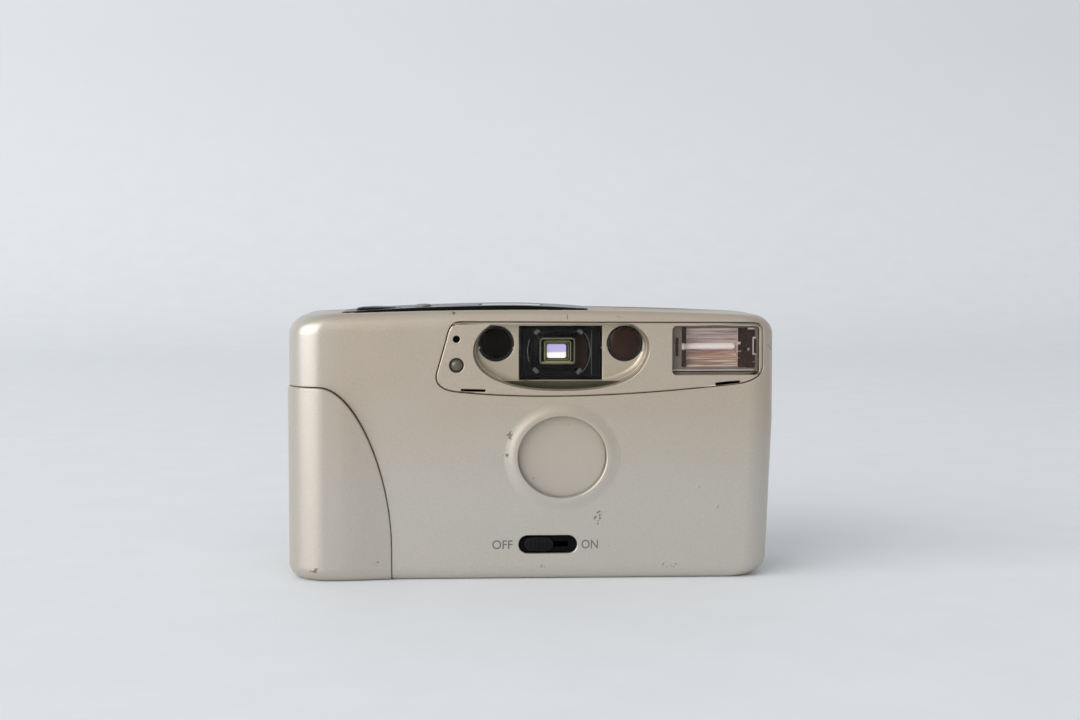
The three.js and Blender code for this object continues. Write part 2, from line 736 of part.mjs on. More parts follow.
// The pan round the bowl; behind the shell's hole it keeps clear of the shell's roof.
function bowlPan() {
  const outline = grown(bowlOutline(), 0.9);
  const collar = frontPrism(outline, innerFrontY - 0.5, innerFrontY + 0.8);
  const pan = frontPrism(outline, innerFrontY, bowlFloor + 1)
    .intersect(bodyForm(body.wall + fit.gap, coarse));
  return collar.add(pan).intersect(frontPrism(panelOutline(), clear.front, bowlFloor + 2));
}

function clipSlit({ x, z, tilt }) {
  const geometry = new THREE.BoxGeometry(6, 1.2, 0.35);
  geometry.rotateY(THREE.MathUtils.degToRad(tilt));
  geometry.translate(x, panelFace, z);
  return solid(geometry);
}

function flashHole(gap) {
  const { left, right, low, high } = flash;
  const outline = roundedBox(left - gap, right + gap, low - gap, high + gap, 0.8 + gap, 3);
  return frontPrism(outline, frontY - 1, innerFrontY + 1);
}

function finderHole(gap) {
  const { x, z, width, height } = finder;
  return block(x - width / 2 - gap, x + width / 2 + gap, clear.front, 0, z - height / 2 - gap,
    z + height / 2 + gap);
}

function frontWindows() {
  const glass = frontPrism(grown(bowlOutline(), -fit.press), frontY + 0.1, frontY + 1.3);
  const flashGlass = frontPrism(roundedBox(flash.left, flash.right, flash.low, flash.high, 0.8, 3),
    frontY - 1, frontY + 1.6).intersect(bodyForm(0.1, fine));
  const lamp = turnY([
    [0, frontY + 0.1], [0.9, frontY + 0.2], [smallEyes.lamp, frontY + 0.8],
    [smallEyes.lamp, innerFrontY + 1.4], [0, innerFrontY + 1.4],
  ], smallEyes.x, smallEyes.lampZ);
  const sensor = rodY(smallEyes.sensor, smallEyes.x, smallEyes.sensorZ, frontY + 0.7,
    innerFrontY + 1.4);
  const eyes = autofocus.map(({ name, x, look }) => part(name, turnY([
    [0, bowlFloor - 0.35], [2.2, bowlFloor - 0.25], [afLens.radius, bowlFloor + 0.1],
    [afLens.radius, bowlFloor + 2.6], [0, bowlFloor + 2.6],
  ], x, afLens.z), look));
  return assembly(
    part("window_panel", windowPanel(), finishes.silver),
    part("clear_window", glass, finishes.clear),
    part("flash_window", flashGlass, finishes.clear),
    part("timer_lamp", lamp, finishes.clear),
    part("light_sensor", sensor, finishes.glass),
    ...eyes,
  );
}

// ---------------------------------------------------------------- viewfinder

function rectangle(x, z, width, height, y) {
  const [w, h] = [width / 2, height / 2];
  return [[-w, -h], [-w, h], [w, h], [w, -h]].map(([dx, dz]) => (
    new THREE.Vector3(x + dx, y, z + dz)
  ));
}

const finderFront = bowlFloor + 0.1;
const finderBack = backY - 4.4;

function viewfinder() {
  const { x, z, width, height } = finder;
  const objective = turnY([
    [0, finderFront - 0.9], [3.5, finderFront - 0.7], [7.1, finderFront + 0.1],
    [7.1, finderFront + 1.8], [0, finderFront + 1.8],
  ], x - 0.5, z);
  const lensRoom = rodY(7.4, x - 0.5, z, finderFront - 1, finderFront + 2.2)
    .intersect(block(clear.left, clear.right, clear.front, 0, z - 5.9, z + 5.9));
  const objectiveTrim = block(clear.left, clear.right, clear.front, 0, z - 5.6, z + 5.6);
  const tunnel = loft([
    rectangle(x, z, 13.6, 9.6, finderFront + 2),
    rectangle(x, eyepiece.z - 0.6, 9, 4.6, finderBack + 0.5),
  ]);
  const housing = block(x - width / 2, x + width / 2, finderFront, finderBack, z - height / 2,
    z + height / 2).subtract(lensRoom).subtract(tunnel);
  const frame = eyepieceFrame();
  const eyeLens = block(x - 4.4, x + 4.4, backY - 1, backY + 0.6, eyepiece.z - 2.3, eyepiece.z + 2.3);
  return assembly(
    part("viewfinder_housing", housing, finishes.matt),
    part("viewfinder_objective", objective.intersect(objectiveTrim), finishes.clear),
    part("eyepiece_frame", frame, finishes.black),
    part("eyepiece_lens", eyeLens, finishes.clear),
  );
}

function eyepieceFrame() {
  const { x, z, width, height } = eyepiece;
  const neck = block(x - width / 2, x + width / 2, finderBack + fit.gap, backY, z - height / 2,
    z + height / 2);
  const bezel = frontPrism(roundedBox(x - width / 2 - 0.9, x + width / 2 + 0.9,
    z - height / 2 - 0.3, z + height / 2 + 0.9, 2, 4), backY + fit.gap, backY + proud.eyepiece);
  const joint = block(x - width / 2, x + width / 2, backY - 0.5, backY + 1, z - height / 2,
    z + height / 2);
  const sight = block(x - 4.7, x + 4.7, finderBack - 1, backY + 4, z - 2.6, z + 2.6);
  return neck.add(joint).add(bezel).subtract(sight);
}

// ---------------------------------------------------------------- flash

function flashUnit() {
  const { left, right, low, high } = flash;
  const middle = flash.tubeZ;
  const front = frontY + 1.9;
  const deep = 4.4;
  const section = [];
  const half = high - middle - 0.2;
  for (let i = 0; i <= 8; i += 1) {
    const share = -1 + i / 4;
    section.push(point(front + deep * (1 - share * share), middle + half * share));
  }
  const trough = sidePrism([...section, point(front - 1, middle + half), point(front - 1, middle - half)],
    left + 1.6, right - 5.2);
  const bulk = block(left + 0.9, right - 0.5, front, front + deep + 0.7, low - 0.2, high);
  const endPocket = block(right - 4.4, right - 1.4, front - 1, front + 3.2, middle - 2, middle + 2);
  const tube = rodX(1.2, front + 2.2, middle, left + 2, right - 5.6);
  return assembly(
    part("flash_reflector", bulk.subtract(trough).subtract(endPocket), finishes.mirror),
    part("flash_tube", tube, finishes.clear),
  );
}

// An outline drawn in Y and Z, seen from the right, carried along X.
function sidePrism(points, x0, x1) {
  const geometry = extruded(cleaned(points), x1 - x0);
  const turn = new THREE.Matrix4().makeBasis(
    new THREE.Vector3(0, 1, 0), new THREE.Vector3(0, 0, 1), new THREE.Vector3(1, 0, 0));
  geometry.applyMatrix4(turn);
  geometry.translate(x0, 0, 0);
  return solid(geometry);
}

// ---------------------------------------------------------------- power switch and lens cover

const switchFloor = frontY + 0.8;
const flangeY = innerFrontY + 0.6;
const leverY = flangeY + 0.5 + fit.gap;
const discY = innerFrontY + fit.gap + 0.1;
const pinX = cover.pivotX - power.travel / 2;

function switchBezel() {
  const plate = frontPrism(slotOutline(power.length / 2 - fit.gap, power.height / 2 - fit.gap),
    switchFloor, innerFrontY + 0.3);
  let form = plate;
  for (const side of [-1, 1]) {
    const middle = power.x + side * (power.length / 2 + 0.2);
    form = form.add(block(middle - 1.2, middle + 1.2, innerFrontY + fit.gap - 0.2,
      innerFrontY + 0.8, power.z - 1.8, power.z + 1.8));
  }
  const reach = power.travel + 2.2;
  return form.subtract(block(pinX - 2.4, pinX + reach, frontY - 1, frontY + 6, power.z - 0.9,
    power.z + 0.9));
}

function powerSlider() {
  const half = power.knob / 2 - 0.2;
  let knob = frontPrism(roundedBox(pinX - half, pinX + half, power.z - 1.75, power.z + 1.75, 1.7, 4),
    frontY - 0.1, switchFloor - fit.gap);
  for (let i = 0; i < 6; i += 1) {
    const x = pinX - 1.6 + i * 0.9;
    knob = knob.subtract(block(x - 0.18, x + 0.18, frontY - 1, frontY + 0.1, power.z - 2,
      power.z + 2));
  }
  const neck = block(pinX - 2, pinX + 2, switchFloor - 0.5, flangeY + 0.2, power.z - 0.6,
    power.z + 0.6);
  const flange = block(pinX - 3, pinX + 3, flangeY, flangeY + 0.5, power.z - 1.6, power.z + 1.6);
  const pin = rodY(0.8, pinX, power.z, flangeY + 0.3, leverY + 1.1);
  return knob.add(neck).add(flange).add(pin);
}

// A closed disc on a lever: the switch's pin rides in the fork and swings it aside.
function lensCover() {
  const { pivotX, pivotZ, radius, thick } = cover;
  const disc = rodY(radius, lens.x, lens.z, discY, discY + thick, 40);
  const arm = new THREE.Vector2(lens.x - pivotX, lens.z - pivotZ);
  const side = point(-arm.y, arm.x).normalize();
  const at = (along, across) => point(pivotX, pivotZ)
    .addScaledVector(arm, along).addScaledVector(side, across);
  const blade = frontPrism(cleaned([at(0, -2.2), at(0.75, -4), at(0.75, 4), at(0, 2.2)]),
    leverY - 0.1, leverY + 0.9);
  const down = point(pinX - pivotX, power.z - pivotZ).normalize();
  const over = point(-down.y, down.x);
  const limb = (from, to, half) => frontPrism(cleaned([
    [from, -half], [to, -half], [to, half], [from, half],
  ].map(([along, across]) => point(pivotX, pivotZ)
    .addScaledVector(down, along).addScaledVector(over, across))), leverY - 0.3, leverY + 1.2);
  const hub = rodY(2.6, pivotX, pivotZ, leverY, leverY + 0.9);
  const limbs = limb(0, 5.4, 2.3).intersect(block(clear.left, clear.right, leverY, leverY + 0.9,
    clear.below, clear.above));
  return disc.add(blade.add(hub).add(limbs)).subtract(limb(2.3, 7, 1.15))
    .subtract(rodY(1.2 + fit.gap, pivotX, pivotZ, leverY - 1, leverY + 2));
}

function powerSwitch() {
  return assembly(
    part("switch_bezel", switchBezel(), finishes.black),
    part("power_slider", powerSlider(), finishes.black),
    part("lens_cover", lensCover(), finishes.silver),
  );
}

// ---------------------------------------------------------------- lens and shutter

const barrelFront = leverY + 1.8;
const shutterFront = barrelFront + 4.2;
const shutterBack = shutterFront + 7.3;
const bladeRoom = shutterBack - 2.1;
const aperture = 5;
const bladePivot = 10.5;

function shutterHousing() {
  const outline = roundedBox(lens.x - 15.6, lens.x + 15.6, lens.z - 15.2, lens.z + 15.2, 3, 3);
  let form = frontPrism(outline, shutterFront, shutterBack);
  form = form.subtract(rodY(9.6, lens.x, lens.z, shutterFront - 1, bladeRoom + 0.5));
  form = form.subtract(rodY(13.3, lens.x, lens.z, bladeRoom, shutterBack - 0.7));
  form = form.subtract(rodY(aperture + 1, lens.x, lens.z, bladeRoom, shutterBack + 1));
  for (const side of [-1, 1]) {
    form = form.add(rodY(0.7, lens.x + side * bladePivot, lens.z, bladeRoom + 0.3,
      shutterBack - 0.5));
  }
  return form;
}

// Each blade covers half of the aperture from its own pivot; the two are mirror images.
function shutterBlade(side, y0) {
  const half = frontPrism(cleaned([
    [-bladePivot - 1.6, 1.2], [-bladePivot - 1.6, -1.4], [-4.5, -5.6], [0, -6.4], [4.5, -5.6],
    [6.6, -2.5], [6.8, 0.4], [-6, 0.4],
  ].map(([x, z]) => point(lens.x - side * x, lens.z - side * z))), y0, y0 + 0.3);
  return half.subtract(rodY(1, lens.x + side * bladePivot, lens.z, y0 - 1, y0 + 1));
}

function lensUnit() {
  const f = barrelFront;
  const barrelProfile = [
    [4.2, f], [8.1, f], [8.6, f + 0.5], [8.6, shutterFront - 0.6], [9.3, shutterFront - 0.6],
    [9.3, bladeRoom - 0.3], [5.3, bladeRoom - 0.3], [5.3, f + 2.2], [4.2, f + 1], [4.2, f],
  ];
  const front = [[0, f + 1.5], [2.6, f + 1.9], [4.9, f + 2.7], [4.9, f + 4.4], [0, f + 4.4]];
  const rear = [[0, f + 6.4], [4.9, f + 5.8], [4.9, f + 8.3], [0, f + 8.9]];
  return assembly(
    part("shutter_housing", shutterHousing(), finishes.matt),
    part("shutter_blade_lower", shutterBlade(-1, bladeRoom + 0.2), finishes.black),
    part("shutter_blade_upper", shutterBlade(1, bladeRoom + 0.8), finishes.black),
    part("lens_barrel", turnY(barrelProfile, lens.x, lens.z), finishes.matt),
    part("lens_front", turnY(front, lens.x, lens.z), finishes.glass),
    part("lens_rear", turnY(rear, lens.x, lens.z), finishes.glass),
  );
}

// ---------------------------------------------------------------- chassis

const boardTop = padFloor - 4.2;
const sprocket = { x: gateLeft - 3.2, radius: 6.05, wheel: 4.4, tooth: 1.1, teeth: 8, shaft: 1.6 };
sprocket.y = filmY - sprocket.radius;
const sprocketRows = [lens.z - film.width / 2 + 3.5, lens.z + film.width / 2 - 3.5];
const reduction = { angle: 255, small: 8, reach: pinionRadius + wheelRadius };
const reductionAt = {
  x: spool.x + reduction.reach * Math.cos(THREE.MathUtils.degToRad(reduction.angle)),
  y: spool.y + reduction.reach * Math.sin(THREE.MathUtils.degToRad(reduction.angle)),
};
const idlersX = Array.from({ length: train.idlers }, (_, i) => (
  spool.x + pinionRadius + idlerRadius * (1 + 2 * i)
));
const plateLow = layerLow + train.thick + 0.9;

function chamberShells() {
  const gatePlate = block(spool.x, can.x, filmY - 1.6, filmY, plateLow, spoolRoof + 1);
  const spoolWall = rodZ(film.spoolChamber + 1.1, spool.x, spool.y, spoolFloor - 1.2, spoolRoof + 1.2)
    .add(block(spool.x - film.spoolChamber - 1.1, spool.x + film.spoolChamber + 1.1, spool.y + 1,
      filmY, spoolFloor - 1.2, spoolRoof + 1.2));
  const canWall = rodZ(can.room + can.wall, can.x, can.y, canLow - 1, canHigh + 1)
    .add(block(can.x - can.room - can.wall, can.x + can.room + can.wall, can.y + 1, filmY,
      canLow - 1, canHigh + 1));
  const behind = block(clear.left, clear.right, filmY, clear.back, clear.below, clear.above);
  return gatePlate.add(spoolWall).add(canWall).subtract(behind);
}

function chamberRooms() {
  const back = filmY + 1;
  const spoolRoom = rodZ(film.spoolChamber, spool.x, spool.y, spoolFloor, spoolRoof)
    .add(block(spool.x - film.spoolChamber, spool.x + film.spoolChamber, spool.y + 0.6, back,
      spoolFloor, spoolRoof));
  const canRoom = rodZ(can.room, can.x, can.y, canLow, canHigh)
    .add(block(can.x - can.room, can.x + can.room, can.y + 0.6, back, canLow, canHigh));
  return spoolRoom.add(canRoom);
}

function lightTunnel(grow) {
  const front = shutterBack + fit.gap - (grow ? 0 : 1);
  return loft([
    rectangle(lens.x, lens.z, 13 + grow * 2, 13 + grow * 2, front),
    rectangle(lens.x, lens.z, gate.width + grow * 2, gate.height + grow * 2, filmY + (grow ? 0 : 0.01)),
  ]);
}

function gearPlate() {
  const x0 = spool.x + 9.2;
  const x1 = can.x - can.room + 1;
  let form = block(x0, x1, -13.4, filmY, plateLow, plateLow + 1.2);
  for (const x of idlersX) {
    form = form.add(rodZ(1.2, x, spool.y, layerLow + 0.2, plateLow + 0.5));
  }
  for (const { x, y } of baseScrews) {
    form = form.add(rodZ(2.2, x, y, body.wall + fit.gap, plateLow + 0.5));
  }
  form = form.subtract(rodZ(tripod.radius + fit.gap, tripod.x, tripod.y, 0, 20));
  for (const { x, y } of baseScrews) {
    form = form.subtract(rodZ(screw.shank + fit.gap, x, y, 0, 20));
  }
  return form;
}

function sprocketCarriers() {
  const [low, high] = sprocketRows;
  const ends = [[low - 3.8, low - 2.5], [high + 2.5, high + 3.8]];
  return ends.map(([z0, z1]) => (
    block(sprocket.x - 4, sprocket.x + 4, sprocket.y - 3.5, filmY, z0, z1)
  )).reduce((one, two) => one.add(two));
}

function sprocketRooms() {
  let form = rodZ(sprocket.shaft + fit.gap, sprocket.x, sprocket.y, spoolFloor + 1,
    spoolRoof - 1);
  for (const z of sprocketRows) {
    form = form.add(rodZ(sprocket.radius + sprocket.tooth + 0.4, sprocket.x, sprocket.y,
      z - sprocket.wheel / 2 - fit.gap, z + sprocket.wheel / 2 + fit.gap));
  }
  return form;
}

function batteryCradle() {
  const { wallY, thick } = cradle;
  const x1 = battery.x + cell.radius + 1.4;
  const top = battery.z + cell.height + 1.7;
  const floor = block(innerLeft, x1, battery.y - 5, doorY - 0.9, body.wall + fit.gap, 3.1);
  const roof = block(innerLeft + 3, x1, battery.y - 5, wallY + thick, top, top + 1.2);
  const wall = block(innerLeft + 1.4, x1 - 0.5, wallY, wallY + thick, 2.6, top + 1);
  const flank = block(x1 - 1, x1, battery.y - 4.6, doorY - 1, 2.4, top + 0.8);
  const backWall = block(innerLeft + 0.3, x1 - 0.3, cradle.backY, cradle.backY + thick, 2.5,
    doorTop - 0.5);
  const tie = block(x1 - 0.5, spool.x - film.spoolChamber, filmY - 3, filmY, spoolFloor, spoolRoof);
  return floor.add(roof).add(wall).add(flank).add(backWall).add(tie);
}

function rails() {
  return [-1, 1].map((side) => {
    const z = lens.z + side * (gate.height / 2 + 2.2);
    return block(gateLeft + 3.9, can.x - can.room, filmY - 0.5, filmY + gate.rail, z - 0.5, z + 0.5);
  }).reduce((one, two) => one.add(two));
}

function mainChassis() {
  let form = chamberShells().add(lightTunnel(1.4)).add(sprocketCarriers());
  form = form.add(block(lens.x - 14, lens.x + 14, shutterBack + fit.gap, shutterBack + fit.gap + 1.2,
    lens.z - 13, lens.z + 13));
  form = form.add(block(lens.x - 14, lens.x - 12.6, shutterBack + fit.gap, filmY - 1, lens.z - 13,
    lens.z - 11.6));
  form = form.subtract(chamberRooms()).subtract(lightTunnel(0)).subtract(sprocketRooms());
  form = form.add(gearPlate()).add(batteryCradle()).add(rails());
  form = form.subtract(rodZ(3.8, spool.x, spool.y, spoolFloor - 3, spoolFloor + 1));
  form = form.subtract(rodZ(2.6, can.x, can.y, canLow - 2, canLow + 1));
  form = form.add(rodZ(1, reductionAt.x, reductionAt.y, layerLow + 0.2, spoolFloor - 0.6));
  for (const [x, y] of [[spool.x - 9, -5], [spool.x + 8, 6]]) {
    form = form.add(rodZ(1.5, x, y, spoolRoof + 0.6, boardTop - 1.2 - fit.gap));
  }
  form = form.subtract(block(finder.x - 11, finder.x + 11, clear.front, filmY + 3,
    finder.z - finder.height / 2 - fit.gap, clear.above));
  return form;
}

// ---------------------------------------------------------------- film transport

// A spur gear with straight-flanked teeth; phase is the angle of one tooth, in degrees.
function gear(teeth, z0, z1, phase = 0) {
  const pitch = (Math.PI * 2) / teeth;
  const radius = (train.module * teeth) / 2;
  const tip = radius + 0.75 * train.module;
  const root = radius - 1.05 * train.module;
  const start = THREE.MathUtils.degToRad(phase);
  const points = [];
  for (let i = 0; i < teeth; i += 1) {
    for (const [r, share] of [[root, -0.3], [tip, -0.11], [tip, 0.11], [root, 0.3]]) {
      const angle = start + pitch * (i + share);
      points.push(point(r * Math.cos(angle), r * Math.sin(angle)));
    }
  }
  return planPrism(points, z0, z1);
}

// The phase at which a gear meshes with one that has a tooth at the angle phase.
function meshedPhase(phase, teeth, nextTeeth, direction) {
  const turns = ((direction - phase) * teeth) / 360;
  return direction + 180 - (360 * (0.5 - turns)) / nextTeeth;
}

function placed(piece, x, y) {
  piece.position.set(x, y, 0);
  return piece;
}

function takeUpSpool(phase) {
  const { radius, bore } = spool;
  const low = spoolFloor + 0.4;
  const high = spoolRoof - 0.5;
  const outside = turnZ([
    [0, layerHigh + 0.3], [3.4, layerHigh + 0.3], [3.4, low], [radius + 0.9, low],
    [radius + 0.9, low + 0.9], [radius, low + 0.9], [radius, high], [0, high],
  ], 0, 0);
  let form = outside.add(gear(train.wheel, layerHigh, layerHigh + train.thick, phase));
  for (const z of sprocketRows) {
    form = form.add(block(radius - 0.6, radius + 0.7, -0.5, 0.5, z - 0.8, z + 0.8));
  }
  form = form.subtract(rodZ(bore, 0, 0, low + 1.2, high + 1));
  return form.subtract(rodZ(1.1, 0, 0, 0, low + 2));
}

function sprocketWheel() {
  const low = sprocketRows[0];
  const high = sprocketRows[1];
  let form = rodZ(sprocket.shaft, 0, 0, low - 3.5, high + 3.5);
  for (const z of sprocketRows) {
    form = form.add(rodZ(sprocket.radius, 0, 0, z - sprocket.wheel / 2, z + sprocket.wheel / 2));
    for (let i = 0; i < sprocket.teeth; i += 1) {
      const tooth = new THREE.CylinderGeometry(0.4, 0.85, sprocket.tooth + 0.4, 4);
      tooth.rotateZ(-Math.PI / 2);
      tooth.translate(sprocket.radius + sprocket.tooth / 2 - 0.2, 0, z);
      tooth.rotateZ((i * Math.PI * 2) / sprocket.teeth);
      form = form.add(solid(tooth));
    }
  }
  return form;
}

function rewindFork() {
  const shaft = rodZ(2.2, 0, 0, layerLow + 0.5, canLow + 1.2);
  const blade = block(-2.6, 2.6, -0.6, 0.6, canLow + 1, canLow + 3.4);
  return gear(train.wheel, layerLow, layerLow + train.thick).add(shaft).add(blade);
}

function filmTransport() {
  const pinionPhase = 0;
  const reductionPhase = meshedPhase(pinionPhase, train.pinion, train.wheel, reduction.angle);
  const spoolPhase = meshedPhase(reductionPhase, reduction.small, train.wheel, reduction.angle + 180);
  const low = layerLow;
  const high = layerLow + train.thick;
  const motorLow = spoolFloor + 2;
  const motor = turnZ([
    [0, motorLow], [5.9, motorLow], [5.9, spoolRoof - 6], [3.6, spoolRoof - 6],
    [3.6, spoolRoof - fit.gap], [0, spoolRoof - fit.gap],
  ], 0, 0).subtract(rodZ(1.1, 0, 0, 0, motorLow + 4));
  const pinion = gear(train.pinion, low, high, pinionPhase)
    .add(rodZ(0.75, 0, 0, low + 0.5, motorLow + 3.6));
  const reductionGear = gear(train.wheel, low, high, reductionPhase)
    .add(gear(reduction.small, high - 0.2, layerHigh + train.thick, reductionPhase))
    .subtract(rodZ(1.3, 0, 0, 0, 20));
  const pieces = [
    placed(part("take_up_spool", takeUpSpool(spoolPhase), finishes.black), spool.x, spool.y),
    placed(part("film_motor", motor, finishes.steel), spool.x, spool.y),
    placed(part("motor_pinion", pinion, finishes.brass), spool.x, spool.y),
    placed(part("reduction_gear", reductionGear, finishes.nylon), reductionAt.x, reductionAt.y),
    placed(part("rewind_fork", rewindFork(), finishes.black), can.x, can.y),
    placed(part("sprocket_wheel", sprocketWheel(), finishes.black), sprocket.x, sprocket.y),
  ];
  idlersX.forEach((x, i) => {
    const phase = i % 2 === 0 ? 180 / train.idler : 0;
    const idler = gear(train.idler, low, high, phase).subtract(rodZ(1.2 + fit.gap, 0, 0, 0, 20));
    pieces.push(placed(part(`idler_gear_${i + 1}`, idler, finishes.nylon), x, spool.y));
  });
  return assembly(...pieces);
}

// ---------------------------------------------------------------- back door fittings

const plateY = filmY + gate.rail + fit.gap;

function doorFittings() {
  const plate = frontPrism(roundedBox(lens.x - 18.6, lens.x + 22, lens.z - 15.5, lens.z + 15.5, 2.5, 3),
    plateY, plateY + 1);
  const spring = springStrip();
  const window = doorOpening(filmWindow, 0).intersect(block(-90, 90, backY - body.wall + 0.1,
    backY - 0.1, 0, 90));
  const module = doorOpening(dateModule, 0).intersect(block(-90, 90, backY - body.wall - 0.6,
    backY + 0.2, 0, 90));
  const buttonsX = [0, 1, 2].map((i) => dateModule.x0 + 3.5 + i * 4);
  let face = module.subtract(block(spool.x + 0.5, spool.x + 11, backY - 0.3, backY + 1,
    dateModule.z0 + 3, dateModule.z1 - 2.5));
  const buttonZ = dateModule.z0 + 6;
  for (const x of buttonsX) {
    face = face.subtract(rodY(1.1 + fit.gap, x, buttonZ, backY - 1.5, backY + 1));
  }
  const buttons = buttonsX.map((x, i) => part(`date_button_${i + 1}`,
    rodY(1.1, x, buttonZ, backY - 0.8, backY + 0.45), finishes.black));
  return assembly(
    part("pressure_plate", plate, finishes.black),
    part("pressure_spring", spring, finishes.steel),
    part("film_window", window, finishes.clear),
    part("date_module", face, finishes.gloss),
    ...buttons,
  );
}

// A leaf spring bowed between the door and the pressure plate.
function springStrip() {
  const clear = plateY + 1.5;
  const seat = backY - body.wall - fit.gap - 0.35;
  const line = [];
  for (let i = 0; i <= 10; i += 1) {
    const share = -1 + i / 5;
    line.push(point(lens.x + 14 * share, seat - (seat - clear) * (1 - share * share) ** 2));
  }
  const far = line.map(({ x, y }) => point(x, y + 0.35)).reverse();
  return planPrism(cleaned([...line, ...far]), lens.z - 4, lens.z + 4);
}

// ---------------------------------------------------------------- electrics and small fittings

function electrics() {
  const { x, y, z } = battery;
  const top = z + cell.height;
  const cellForm = turnZ([
    [0, z], [cell.radius - 0.4, z], [cell.radius, z + 0.4], [cell.radius, top - 1.4],
    [cell.radius - 0.6, top - 0.9], [3, top - 0.9], [3, top], [0, top],
  ], x, y);
  const plus = block(x - 3, x + 3, y - 3.5, y + 6, top + fit.gap, top + 0.8)
    .add(block(x - 3, x + 3, y + 5.4, y + 6, top + fit.gap, top + 1.4));
  const condenser = turnZ([
    [0, 3.5], [capacitor.radius - 0.4, 3.5], [capacitor.radius, 4], [capacitor.radius, 4 + capacitor.height],
    [0, 4.3 + capacitor.height],
  ], capacitor.x, capacitor.y);
  const board = block(spool.x - 13, spool.x + 22, frontY + 6.5, backY - 6, boardTop - 1.2, boardTop)
    .add(block(spool.x + 4, spool.x + 14, -2, 8, boardTop - 0.2, boardTop + 1.3))
    .add(rodZ(1.8, release.x, release.y, boardTop - 0.2, boardTop + 0.3));
  return assembly(
    part("battery_cell", cellForm, finishes.wrap),
    part("battery_contact", plus, finishes.brass),
    part("battery_spring", batterySpring(), finishes.steel),
    part("flash_capacitor", condenser, finishes.gloss),
    part("main_board", board, finishes.board),
  );
}

// A conical coil under the cell, drawn as one wire of falling radius.
function batterySpring() {
  const turns = 3;
  const room = battery.z - 3.1;
  const wire = 0.35;
  const places = [];
  const steps = turns * 9;
  for (let i = 0; i <= steps; i += 1) {
    const share = i / steps;
    const angle = Math.PI * 2 * turns * share;
    const radius = 5 - 2.6 * share;
    places.push(new THREE.Vector3(
      battery.x + radius * Math.cos(angle),
      battery.y + radius * Math.sin(angle),
      3.1 + fit.gap + wire + share * (room - 2 * fit.gap - 2 * wire),
    ));
  }
  const section = Array.from({ length: 5 }, (_, i) => (
    point(wire * Math.cos((i * Math.PI * 2) / 5), wire * Math.sin((i * Math.PI * 2) / 5))
  ));
  const geometry = new THREE.ExtrudeGeometry(new THREE.Shape(section), {
    steps, bevelEnabled: false, extrudePath: new THREE.CatmullRomCurve3(places),
  });
  return solid(geometry);
}

function smallFittings() {
  const socket = turnZ([
    [tripod.bore, 0.02], [tripod.radius, 0.02], [tripod.radius, tripod.height],
    [0, tripod.height], [0, tripod.height - 1], [tripod.bore, tripod.height - 1],
    [tripod.bore, 0.02],
  ], tripod.x, tripod.y);
  const slide = rightX - body.wall - 0.3;
  const half = latch.length / 2;
  const knob = block(slide - 1.3, rightX - 0.4, latch.y - 2, latch.y + 2, latch.z - half,
    latch.z + half).add(block(slide - 1.5, slide - 0.9, latch.y - 3.2, latch.y + 3.2,
    latch.z - half - 2, latch.z + half + 2));
  const rewind = turnZ([
    [0, 0.3], [1.2, 0.3], [1.2, body.wall + fit.gap], [1.9, body.wall + fit.gap],
    [1.9, body.wall + 0.8], [0, body.wall + 0.8],
  ], rewindButton.x, rewindButton.y);
  return assembly(
    part("tripod_socket", socket, finishes.brass),
    part("door_latch", knob, finishes.black),
    part("rewind_button", rewind, finishes.black),
  );
}

// ---------------------------------------------------------------- the whole camera

const camera = assembly(
  casing(),
  topControls(),
  frontWindows(),
  viewfinder(),
  flashUnit(),
  powerSwitch(),
  lensUnit(),
  assembly(part("main_chassis", mainChassis(), finishes.matt)),
  filmTransport(),
  doorFittings(),
  electrics(),
  smallFittings(),
);

export default camera;
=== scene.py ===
"""Looks for a compact film camera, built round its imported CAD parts.

Shapes are worked out in millimetres and finished in metres, in the frame of the parts:
+Z is up and the lens looks along -Y. Places come from the boxes of the CAD nodes.
"""

from __future__ import annotations

import json
import logging
from dataclasses import dataclass
from enum import Enum
from math import cos, pi, radians, sin, sqrt, tan
from typing import Any, Sequence, Union

import bmesh
import bpy
from bmesh.types import BMEdge, BMesh, BMFace, BMVert
from bpy.types import Material, Object
from mathutils import Matrix, Vector
from mathutils.geometry import interpolate_bezier

